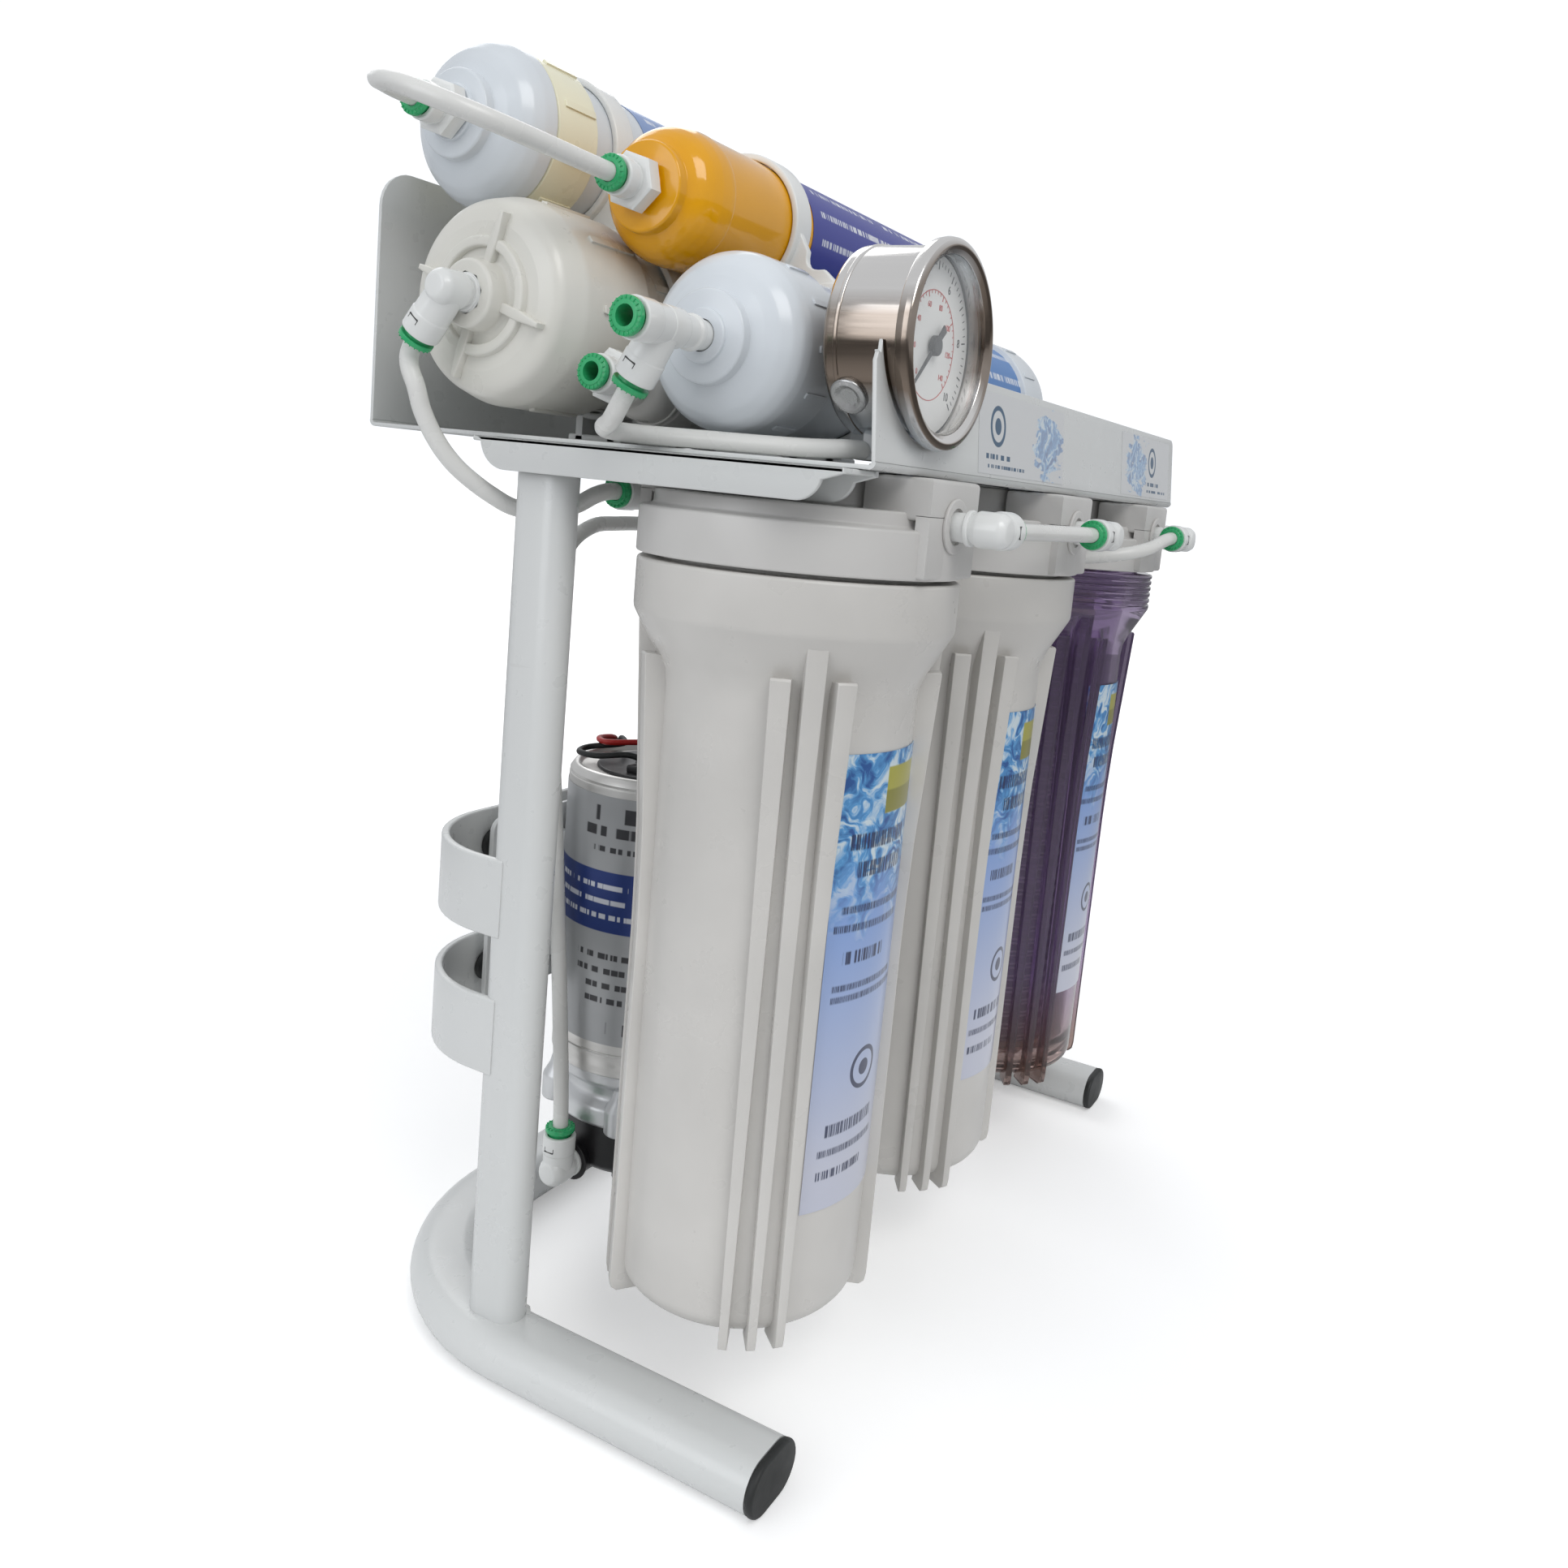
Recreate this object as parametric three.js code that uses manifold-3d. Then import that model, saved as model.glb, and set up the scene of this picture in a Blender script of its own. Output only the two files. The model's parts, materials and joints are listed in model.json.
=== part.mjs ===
// Reverse osmosis unit on a welded stand. Three filter housings hang under a bent sheet tray. The
// tray carries the membrane housing, four in-line filters and a pressure gauge, and a booster pump
// hangs behind the housings.
//
// Millimetres, +Z up. X runs along the row of housings and the front faces -Y. The parts are placed
// from the plane through the housings' axes (Y = 0) and the floor (Z = 0); the whole unit is then
// moved so that its origin is under the middle of the rear rail.
import * as THREE from 'three';
import { mergeVertices } from 'three/addons/utils/BufferGeometryUtils.js';
import Module from 'manifold-3d';

const wasm = await Module();
wasm.setup();

// ---------- driving dimensions ----------

const HOUSING_PITCH = 132; // between neighbouring housing axes
const COLLAR_RADIUS = 59; // collar of a standard ten-inch housing
const GAP = 0.3; // left between pieces that only touch

const TRAY = { halfLength: 183, front: -53, rear: 167, bottom: 356, sheet: 1.5, frontTop: 393, rearTop: 452 };
const TRAY_TOP = TRAY.bottom + TRAY.sheet;
const FRONT_FLANGE_LEAN = Math.atan2(3.5, TRAY.frontTop - TRAY.bottom);

const LEG = { x: 185, front: -50, width: 30, height: 20, wall: 1.5, railY: 147, bend: 80 };
const POST = { x: 182, y: 77, width: 15, depth: 24, wall: 1.5 };
const CHANNEL = { width: 24, sheet: 2, front: -48, rear: 103, depth: 11.5 };
const BAR = { rear: 138.5, sheet: 3, height: 30, curl: 46, tailX: 190, tailY: 81, heights: [133, 187] };

const RIB = { root: 38, foot: 51.2, flareLow: 180, middle: 52.2, flareMiddle: 222, lip: 56.3, flareTop: 294 };
const RIB_WIDTH = { tip: 3.2, top: 7.2 };
const RIB_SPACING = 0.205; // angle between neighbours in a group
const SUMP = { ribBottom: 40, bottom: 44, collarBottom: 299, collarTop: 319.5, neckTop: 336, wall: 4 };
const HEAD = { bottom: 321, skirtTop: 337.5, top: TRAY.bottom - GAP, portZ: 340, bossFace: 59 };

const TUBE_RADIUS = 3.175; // quarter-inch tubing
const ARM = { radius: 6.8, length: 16, bore: 4.8, sleeve: 7, tubeBore: 3.5, tubeDepth: 11, gap: 1.6 };
const COLLET = { flange: 6.2, thickness: 2.2, sleeve: 4.6, length: 5, bore: 3.45 };
const STEM_RADIUS = 5;
const STRAIGHT_BARREL = 13.5;
const LONG_ARM = 19.5; // branch of the tee, and arm of the elbow on the membrane cap
const PORT_RADIUS = 5.3;

const MEMBRANE = { y: 98, z: 403, cap: 36.5, body: 33.5 };
const POST_FILTER = { y: 12.5, z: 394, near: -188, length: 262, rim: 30.5, body: 28, boss: 11, dome: 17 };
const MINERAL = { y: 54.5, z: 446, near: -171, length: 250, rim: 24.2, body: 24, boss: 9.5, dome: 18 };
const POLISHING = { y: 126, z: 468, near: -190, length: 254, rim: 30, body: 27, boss: 12, dome: 19 };
const CAPSULE = {
  y: 54,
  z: 375.9,
  near: -174,
  length: 150,
  rim: 13,
  body: 13.8,
  boss: 7.5,
  dome: 11,
  tilt: 0.049, // angle it sags forwards by
};
const CLIP = { width: 11, wall: 2.6, polishingX: -133, mineralX: -109 };

const GAUGE = { x: -146.3, z: 398.6, front: -58.5, back: -27.5, bezel: 34.3, drum: 31.5, stemY: -33 };
const PUMP = { x: -87, y: 84, radius: 41, top: 224, motorBottom: 96, headBottom: 70, bottom: 46, portZ: 54 };

const ROUND = 22; // facets on the large round parts
const MEDIUM_ROUND = 16; // on cartridges, filters and clips
const SMALL_ROUND = 10; // on fittings

// ---------- materials ----------

const finish = (color, roughness, metalness = 0) =>
  new THREE.MeshStandardMaterial({ color, roughness, metalness });

const MATERIALS = {
  paintedSteel: finish(0xe9ecea, 0.35, 0.1),
  whitePlastic: finish(0xf0efe9, 0.4),
  warmPlastic: finish(0xf1eddc, 0.4),
  blackRubber: finish(0x2a2e2d, 0.7),
  smokyPlastic: new THREE.MeshStandardMaterial({
    color: 0x6f5f92,
    roughness: 0.1,
    transparent: true,
    opacity: 0.5,
  }),
  filterMedia: finish(0xd9d5d6, 0.85),
  carbonBlock: finish(0x34363a, 0.9),
  membraneWrap: finish(0xd5dbe0, 0.6),
  amberPlastic: finish(0xe9a300, 0.15),
  greenCollet: finish(0x2a9a63, 0.4),
  tubing: finish(0xf4f5f3, 0.35),
  stainless: finish(0xc7c4bd, 0.25, 1),
  aluminium: finish(0xc3c5c7, 0.4, 0.9),
  motorSteel: finish(0xb4b6b8, 0.35, 0.7),
  blackPlastic: finish(0x232126, 0.5),
  glass: new THREE.MeshStandardMaterial({
    color: 0xf2f6f6,
    roughness: 0.05,
    transparent: true,
    opacity: 0.3,
  }),
  dialWhite: finish(0xf3f3ee, 0.5),
  needleBlack: finish(0x191919, 0.4),
};

// ---------- solids ----------

// A closed manifold-3d solid from a closed geometry, with shared vertices merged.
function solid(geometry) {
  const bare = geometry.clone();
  bare.deleteAttribute('normal');
  bare.deleteAttribute('uv');
  const merged = mergeVertices(bare, 1e-4);
  const index = merged.index.array;
  const triangles = [];
  for (let i = 0; i < index.length; i += 3) {
    const [a, b, c] = [index[i], index[i + 1], index[i + 2]];
    if (a !== b && b !== c && c !== a) triangles.push(a, b, c);
  }
  const vertProperties = Float32Array.from(merged.attributes.position.array);
  const triVerts = Uint32Array.from(triangles);
  return new wasm.Manifold(new wasm.Mesh({ numProp: 3, vertProperties, triVerts }));
}

function geometryOf(body) {
  const { vertProperties, triVerts } = body.getMesh();
  const geometry = new THREE.BufferGeometry();
  geometry.setAttribute('position', new THREE.BufferAttribute(Float32Array.from(vertProperties), 3));
  geometry.setIndex(new THREE.BufferAttribute(Uint32Array.from(triVerts), 1));
  geometry.computeVertexNormals();
  return geometry;
}

const join = (...parts) => geometryOf(parts.map(solid).reduce((sum, part) => sum.add(part)));
const cut = (body, ...tools) =>
  geometryOf(tools.map(solid).reduce((rest, tool) => rest.subtract(tool), solid(body)));

function box(x0, x1, y0, y1, z0, z1) {
  const geometry = new THREE.BoxGeometry(x1 - x0, y1 - y0, z1 - z0);
  return geometry.translate((x0 + x1) / 2, (y0 + y1) / 2, (z0 + z1) / 2);
}

// Turns a profile of [radius, height] points about Z. The solid lies to the left of the profile.
// A profile that doesn't end on the axis is closed back to its first point.
function revolve(profile, facets = ROUND) {
  const points = profile.map(([radius, height]) => new THREE.Vector2(radius, height));
  if (points.at(-1).x > 0) points.push(points[0].clone());
  return new THREE.LatheGeometry(points, facets).rotateX(Math.PI / 2);
}

// The same with the profile's heights running along +X or +Y.
const revolveX = (profile, facets) => revolve(profile, facets).rotateY(Math.PI / 2);
const revolveY = (profile, facets) => revolve(profile, facets).rotateX(-Math.PI / 2);

const rod = (radius, from, to) => [[0, from], [radius, from], [radius, to], [0, to]];

// Points on an arc from one angle to another, both included.
function arc(cx, cy, radius, from, to, steps) {
  return Array.from({ length: steps + 1 }, (_, i) => {
    const angle = from + ((to - from) * i) / steps;
    return [cx + radius * Math.cos(angle), cy + radius * Math.sin(angle)];
  });
}

function outline(points, hole) {
  const shape = new THREE.Shape(points.map(([x, y]) => new THREE.Vector2(x, y)));
  if (hole) shape.holes.push(new THREE.Path(hole.map(([x, y]) => new THREE.Vector2(x, y))));
  return shape;
}

const extrude = (shape, depth) => new THREE.ExtrudeGeometry(shape, { depth, bevelEnabled: false });

// Extrudes an outline drawn in (Y, Z) along X, from x0 to x1.
function extrudeX(shape, x0, x1) {
  const geometry = extrude(shape, x1 - x0);
  return geometry.rotateX(Math.PI / 2).rotateZ(Math.PI / 2).translate(x0, 0, 0);
}

// Flat oval with its long side along x, or along y when it is deeper than wide.
function oval(width, depth, steps = 4) {
  const radius = Math.min(width, depth) / 2;
  const reach = Math.abs(width - depth) / 2;
  const quarter = Math.PI / 2;
  if (width >= depth) {
    return [
      ...arc(reach, 0, radius, -quarter, quarter, steps * 2),
      ...arc(-reach, 0, radius, quarter, 3 * quarter, steps * 2),
    ];
  }
  return [
    ...arc(0, reach, radius, 0, 2 * quarter, steps * 2),
    ...arc(0, -reach, radius, 2 * quarter, 4 * quarter, steps * 2),
  ];
}

// ---------- tubes along a path ----------

// A path through stations with a direction at each, so that a sweep along it puts its sections there
// and nowhere else.
class StationPath extends THREE.Curve {
  constructor() {
    super();
    this.stations = [];
    this.directions = [];
  }

  addStation(point, direction) {
    this.stations.push(point.clone());
    this.directions.push(direction.clone().normalize());
  }

  get steps() {
    return this.stations.length - 1;
  }

  getPointAt(u, target = new THREE.Vector3()) {
    return target.copy(this.stations[Math.round(u * this.steps)]);
  }

  getTangentAt(u, target = new THREE.Vector3()) {
    return target.copy(this.directions[Math.round(u * this.steps)]);
  }
}

// Straight runs between corners, with round bends at the corners.
function bentPath(corners, bend, bendSteps) {
  const path = new StationPath();
  let before = corners[1].clone().sub(corners[0]).normalize();
  path.addStation(corners[0], before);
  for (let i = 1; i < corners.length - 1; i++) {
    const after = corners[i + 1].clone().sub(corners[i]).normalize();
    const turn = before.angleTo(after);
    const axis = before.clone().cross(after).normalize();
    const inward = axis.clone().cross(before);
    const start = corners[i].clone().addScaledVector(before, -bend * Math.tan(turn / 2));
    const centre = start.addScaledVector(inward, bend);
    for (let k = 0; k <= bendSteps; k++) {
      const angle = (turn * k) / bendSteps;
      const radial = inward.clone().applyAxisAngle(axis, angle);
      const direction = before.clone().applyAxisAngle(axis, angle);
      path.addStation(centre.clone().addScaledVector(radial, -bend), direction);
    }
    before = after;
  }
  path.addStation(corners.at(-1), before);
  return path;
}

const sweep = (shape, path) =>
  new THREE.ExtrudeGeometry(shape, { steps: path.steps, extrudePath: path, bevelEnabled: false });

// Quarter-inch tubing. It runs straight between the first two points and between the last two,
// inside the fittings, and in one smooth curve between them.
function tubing(points, steps) {
  const path = new StationPath();
  const [first, second] = points;
  const [nextToLast, last] = points.slice(-2);
  const into = second.clone().sub(first).normalize();
  const out = last.clone().sub(nextToLast).normalize();
  path.addStation(first, into);
  path.addStation(second, into);
  if (points.length > 2) {
    const lead = 4;
    const free = [
      second,
      second.clone().addScaledVector(into, lead),
      ...points.slice(2, -2),
      nextToLast.clone().addScaledVector(out, -lead),
      nextToLast,
    ];
    const curve = new THREE.CatmullRomCurve3(free, false, 'centripetal');
    for (let k = 1; k < steps; k++) {
      path.addStation(curve.getPointAt(k / steps), curve.getTangentAt(k / steps));
    }
    path.addStation(nextToLast, out);
    path.addStation(last, out);
  }
  const ring = arc(0, 0, TUBE_RADIUS, 0, 2 * Math.PI, 8).slice(1);
  return sweep(outline(ring), path);
}

// ---------- assembly helpers ----------

const unit = new THREE.Group();

function add(name, geometry, material, parent = unit) {
  const mesh = new THREE.Mesh(geometry, material);
  mesh.name = name;
  parent.add(mesh);
  return mesh;
}

const at = (x, y, z) => new THREE.Vector3(x, y, z);

// A frame at a fitting's corner: local +X runs into the part it is screwed to, local -Z along its arm.
function fittingFrame(corner, stem, arm) {
  const frame = new THREE.Group();
  const up = arm.clone().negate().normalize();
  const x = stem.clone().normalize();
  frame.position.copy(corner);
  frame.quaternion.setFromRotationMatrix(new THREE.Matrix4().makeBasis(x, up.clone().cross(x), up));
  unit.add(frame);
  return frame;
}

// ---------- stand ----------

function baseTube(width, height) {
  const corners = [
    at(-LEG.x, LEG.front, LEG.height / 2),
    at(-LEG.x, LEG.railY, LEG.height / 2),
    at(LEG.x, LEG.railY, LEG.height / 2),
    at(LEG.x, LEG.front, LEG.height / 2),
  ];
  return sweep(outline(oval(height, width, 2)), bentPath(corners, LEG.bend, 5));
}

function postTube(x, inset, from, to) {
  const ring = oval(POST.width - 2 * inset, POST.depth - 2 * inset, 2);
  return extrude(outline(ring), to - from).translate(x, POST.y, from);
}

// Folded channel under one end of the tray, its side flanges rounded off at both ends.
function channel(x) {
  const bottom = TRAY.bottom - CHANNEL.depth;
  const steps = 3;
  const side = outline([
    [CHANNEL.front, TRAY.bottom - CHANNEL.sheet],
    ...arc(CHANNEL.front + 15, TRAY.bottom - 2, CHANNEL.depth - 2, -0.85 * Math.PI, -Math.PI / 2, steps),
    ...arc(CHANNEL.rear - 15, bottom + CHANNEL.depth, CHANNEL.depth, -Math.PI / 2, -0.15 * Math.PI, steps),
    [CHANNEL.rear, TRAY.bottom],
    [CHANNEL.front, TRAY.bottom],
  ]);
  const half = CHANNEL.width / 2;
  const inner = half - CHANNEL.sheet;
  const underWeb = TRAY.bottom - CHANNEL.sheet;
  const hollow = box(x - inner, x + inner, CHANNEL.front - 1, CHANNEL.rear + 1, bottom - 1, underWeb);
  return cut(extrudeX(side, x - half, x + half), hollow);
}

// Flat bar across the back, with its ends curled forward to the posts.
function crossBar(z) {
  const centreX = BAR.tailX - BAR.curl;
  const centreY = BAR.rear - BAR.curl;
  const inner = BAR.curl - BAR.sheet;
  const steps = 6;
  const quarter = Math.PI / 2;
  const plan = outline([
    [BAR.tailX, BAR.tailY],
    ...arc(centreX, centreY, BAR.curl, 0, quarter, steps),
    ...arc(-centreX, centreY, BAR.curl, quarter, 2 * quarter, steps),
    [-BAR.tailX, BAR.tailY],
    [-BAR.tailX + BAR.sheet, BAR.tailY],
    ...arc(-centreX, centreY, inner, 2 * quarter, quarter, steps),
    ...arc(centreX, centreY, inner, quarter, 0, steps),
    [BAR.tailX - BAR.sheet, BAR.tailY],
  ]);
  return extrude(plan, BAR.height).translate(0, 0, z - BAR.height / 2);
}

// One weldment: the tube that lies on the floor, two posts, the channels on top and two cross bars.
function stand() {
  const channelBottom = TRAY.bottom - CHANNEL.sheet;
  const buried = 3; // how far each post reaches into the leg below it
  const posts = [-POST.x, POST.x].map((x) => postTube(x, 0, LEG.height - buried, channelBottom + 1));
  const bores = [-POST.x, POST.x].map((x) => postTube(x, POST.wall, LEG.height / 2, channelBottom));
  const steel = join(
    baseTube(LEG.width, LEG.height),
    ...posts,
    channel(-POST.x),
    channel(POST.x),
    ...BAR.heights.map(crossBar),
  );
  const tubeBore = baseTube(LEG.width - 2 * LEG.wall, LEG.height - 2 * LEG.wall);
  const openEnds = [-LEG.x, LEG.x].map((x) => {
    const mouth = extrude(outline(oval(LEG.width - 2 * LEG.wall, LEG.height - 2 * LEG.wall, 2)), 6);
    return mouth.rotateX(Math.PI / 2).translate(x, LEG.front + 3, LEG.height / 2);
  });
  add('stand_frame', cut(steel, tubeBore, ...openEnds, ...bores), MATERIALS.paintedSteel);
}

// Black plug in the open end of a leg.
function footCap(name, x) {
  const head = 3;
  const plug = 14;
  const clearance = 2 * (LEG.wall + 0.25);
  const face = extrude(outline(oval(LEG.width, LEG.height, 2)), head);
  const insert = extrude(outline(oval(LEG.width - clearance, LEG.height - clearance, 2)), plug + 1);
  const body = join(face, insert.translate(0, 0, -plug));
  const mesh = add(name, body.rotateX(Math.PI / 2), MATERIALS.blackRubber);
  mesh.position.set(x, LEG.front - GAP / 2, LEG.height / 2);
}

// ---------- tray ----------

// Upright flange of the tray seen from the front, with rounded top corners.
function flange(height, corner) {
  const half = TRAY.halfLength;
  return outline([
    [-half, 0],
    [half, 0],
    ...arc(half - corner, height - corner, corner, 0, Math.PI / 2, 3),
    ...arc(-half + corner, height - corner, corner, Math.PI / 2, Math.PI, 3),
  ]);
}

function tray() {
  const floor = box(-TRAY.halfLength, TRAY.halfLength, TRAY.front, TRAY.rear, TRAY.bottom, TRAY_TOP);
  const rear = extrude(flange(TRAY.rearTop - TRAY.bottom, 14), TRAY.sheet);
  rear.rotateX(Math.PI / 2).translate(0, TRAY.rear, TRAY.bottom);
  const front = extrude(flange(TRAY.frontTop - TRAY.bottom, 4), TRAY.sheet);
  front.rotateX(Math.PI / 2).translate(0, TRAY.sheet, 0);
  front.rotateX(-FRONT_FLANGE_LEAN).translate(0, TRAY.front, TRAY.bottom);

  const gaugeHole = revolveY(rod(GAUGE.drum + 1, -12, 12)).translate(GAUGE.x, TRAY.front, GAUGE.z);
  const slots = [-1, 0, 1].flatMap((place) =>
    [-40, 40].map((y) => {
      const x = place * HOUSING_PITCH - 16;
      return box(x - 13, x + 13, y - 4, y + 4, TRAY.bottom - 1, TRAY_TOP + 1);
    }),
  );
  add('tray', cut(join(floor, rear, front), gaugeHole, ...slots), MATERIALS.paintedSteel);
}

// ---------- filter housings ----------

// Head of a housing: a skirt that takes the sump's neck, a spigot for the cartridge, and an inlet
// and outlet boss at front and rear.
function headGeometry() {
  const spigotBottom = 307;
  const ceiling = 340.5;
  const shoulder = 343.8; // the upper body is narrower, so that the channels pass beside it
  const upper = 36.5;
  const body = revolve([
    [0, spigotBottom],
    [15, spigotBottom],
    [15, ceiling],
    [52, ceiling],
    [52, HEAD.bottom],
    [COLLAR_RADIUS + 0.5, HEAD.bottom],
    [COLLAR_RADIUS + 0.5, HEAD.skirtTop],
    [COLLAR_RADIUS - 4, shoulder],
    [upper, shoulder],
    [upper, HEAD.top],
    [0, HEAD.top],
  ]);
  const ports = [-1, 1].map((side) => {
    const [y0, y1] = [side * 30, side * HEAD.bossFace].sort((a, b) => a - b);
    return box(-20, 20, y0, y1, ceiling + 1, HEAD.top);
  });
  const lowerBosses = [-1, 1].map((side) => {
    const [y0, y1] = [side * 55, side * HEAD.bossFace].sort((a, b) => a - b);
    return box(-20, 20, y0, y1, HEAD.bottom + 0.5, ceiling + 2);
  });
  const bores = [-1, 1].map((side) => {
    const [from, to] = [side * (HEAD.bossFace - 6), side * (HEAD.bossFace + 2)].sort((a, b) => a - b);
    return revolveY(rod(PORT_RADIUS, from, to), SMALL_ROUND).translate(0, 0, HEAD.portZ);
  });
  return { body: join(body, ...ports, ...lowerBosses), bores };
}

// Grip rib along a sump: it widens and flares outwards from its tip up to the collar.
function ribGeometry(top) {
  const lip = RIB.lip - ((RIB.flareTop - top) * (RIB.lip - RIB.middle)) / (RIB.flareTop - RIB.flareMiddle);
  const side = outline([
    [RIB.root, SUMP.ribBottom],
    [RIB.foot - 2, SUMP.ribBottom],
    [RIB.foot, SUMP.ribBottom + 4],
    [RIB.foot, RIB.flareLow],
    [RIB.middle, RIB.flareMiddle],
    [lip, top],
    [RIB.root, top],
  ]);
  const rib = extrude(side, 1).translate(0, 0, -0.5).rotateX(Math.PI / 2);
  const places = rib.attributes.position;
  for (let i = 0; i < places.count; i++) {
    const share = (places.getZ(i) - SUMP.ribBottom) / (RIB.flareTop - SUMP.ribBottom);
    places.setY(i, places.getY(i) * THREE.MathUtils.lerp(RIB_WIDTH.tip, RIB_WIDTH.top, share));
  }
  return rib;
}

// Sump: a cup with a threaded neck, a collar, a taper and a body with groups of three grip ribs on
// its four diagonals.
function sumpGeometry() {
  const inner = 43;
  const cup = revolve([
    [0, SUMP.bottom],
    [34, SUMP.bottom],
    [42, SUMP.bottom + 3],
    [46.3, SUMP.bottom + 12],
    [48, 277],
    [COLLAR_RADIUS, SUMP.collarBottom - 3],
    [COLLAR_RADIUS, SUMP.collarTop],
    [50.5, SUMP.collarTop],
    [50.5, SUMP.neckTop],
    [inner + 3, SUMP.neckTop],
    [inner, 276],
    [inner, SUMP.bottom + 14],
    [33, SUMP.bottom + SUMP.wall],
    [0, SUMP.bottom + SUMP.wall],
  ]);
  const ribs = [];
  for (let diagonal = 0; diagonal < 4; diagonal++) {
    for (const place of [-1, 0, 1]) {
      const top = place === 0 ? RIB.flareTop : 285;
      ribs.push(ribGeometry(top).rotateZ(Math.PI / 4 + (diagonal * Math.PI) / 2 + place * RIB_SPACING));
    }
  }
  const hollow = revolve([
    [0, SUMP.bottom + SUMP.wall],
    [33, SUMP.bottom + SUMP.wall],
    [inner, SUMP.bottom + 14],
    [inner, 276],
    [inner + 3, SUMP.neckTop],
    [0, SUMP.neckTop],
  ]);
  return cut(join(cup, ...ribs), hollow);
}

const sealGeometry = () => {
  const bottom = SUMP.neckTop + 0.1;
  return revolve([
    [46.5, bottom + 0.8],
    [47.5, bottom],
    [49.3, bottom],
    [50, bottom + 0.8],
    [50, bottom + 2.8],
    [46.5, bottom + 2.8],
  ]);
};

const cartridgeGeometry = () =>
  revolve(
    [
      [14, 52],
      [31, 52],
      [31.5, 55],
      [31.5, 303],
      [31, 306.5],
      [14, 306.5],
    ],
    MEDIUM_ROUND,
  );

function housing(stage, place, sumpTurn, sumpMaterial, mediaMaterial) {
  const x = place * HOUSING_PITCH;
  const { body, bores } = headGeometry();
  const pieces = [
    add(`${stage}_head`, cut(body, ...bores), MATERIALS.whitePlastic),
    add(`${stage}_sump`, sumpGeometry(), sumpMaterial),
    add(`${stage}_seal`, sealGeometry(), MATERIALS.blackRubber),
    add(`${stage}_cartridge`, cartridgeGeometry(), mediaMaterial),
  ];
  for (const piece of pieces) piece.position.x = x;
  pieces[1].rotation.z = sumpTurn;
}

// ---------- membrane housing ----------

function membrane() {
  const place = (mesh) => mesh.position.set(0, MEMBRANE.y, MEMBRANE.z);
  const face = -199;
  const hubFace = -206;
  const mouth = -150;
  const cap = revolveX([
    [0, face + 3],
    [PORT_RADIUS, face + 3],
    [PORT_RADIUS, hubFace],
    [11, hubFace],
    [11, face],
    [26, face],
    [31.5, face + 3],
    [35, face + 8],
    [MEMBRANE.cap, face + 14],
    [MEMBRANE.cap, mouth],
    [31.6, mouth],
    [31.6, face + 22],
    [0, face + 22],
  ]);
  const ring = revolveX([
    [17, face - 2],
    [20, face - 2],
    [20, face + 1],
    [17, face + 1],
  ]);
  const vanes = [0, 1, 2, 3].map((quarter) => {
    const vane = box(hubFace + 1, face + 1, -1.3, 1.3, 9, 28);
    return vane.rotateX(0.33 + (quarter * Math.PI) / 2);
  });
  place(add('membrane_cap', join(cap, ring, ...vanes), MATERIALS.warmPlastic));

  place(
    add(
      'membrane_housing',
      revolveX([
        [0, 98],
        [29, 98],
        [29, -172],
        [31, -172],
        [31, mouth + 1],
        [MEMBRANE.body, mouth + 1],
        [MEMBRANE.body, 100],
        [30, 108],
        [22, 112],
        [0, 112],
      ]),
      MATERIALS.warmPlastic,
    ),
  );
  const element = revolveX([[0, -166], [27, -166], [27, 88], [8.5, 88], [8.5, 96], [0, 96]], MEDIUM_ROUND);
  place(add('membrane_element', element, MATERIALS.membraneWrap));
}

// ---------- in-line filters ----------

// A hollow round cartridge with a domed end at each side and a port through each boss.
function inlineFilter(name, spec, material) {
  const { near, length, rim, body, boss, dome, tilt = 0 } = spec;
  const wall = 2.5;
  const bossHeight = 3;
  const collar = 22; // length of the wider end cap beyond its dome
  const half = length / 2;
  const domeStart = -half + bossHeight;
  const nearDome = arc(0, 0, 1, 0.6, Math.PI / 2, 3).map(([along, out]) => [
    boss + (rim - boss) * out,
    domeStart + dome * (1 - along),
  ]);
  const nearEnd = [
    [PORT_RADIUS, -half],
    [boss, -half],
    [boss, domeStart],
    ...nearDome,
    [rim, domeStart + dome + collar],
    [body, domeStart + dome + collar + 2],
  ];
  const nearInner = [
    [body - wall, -half + dome + 6],
    [PORT_RADIUS, -half + 9],
  ];
  const mirror = (points) => points.map(([radius, height]) => [radius, -height]).reverse();
  const profile = [...nearEnd, ...mirror(nearEnd), ...mirror(nearInner), ...nearInner];
  const mesh = add(name, revolveX(profile, MEDIUM_ROUND), material);
  mesh.position.set(near + half, spec.y, spec.z);
  mesh.rotation.y = tilt;
}

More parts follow.
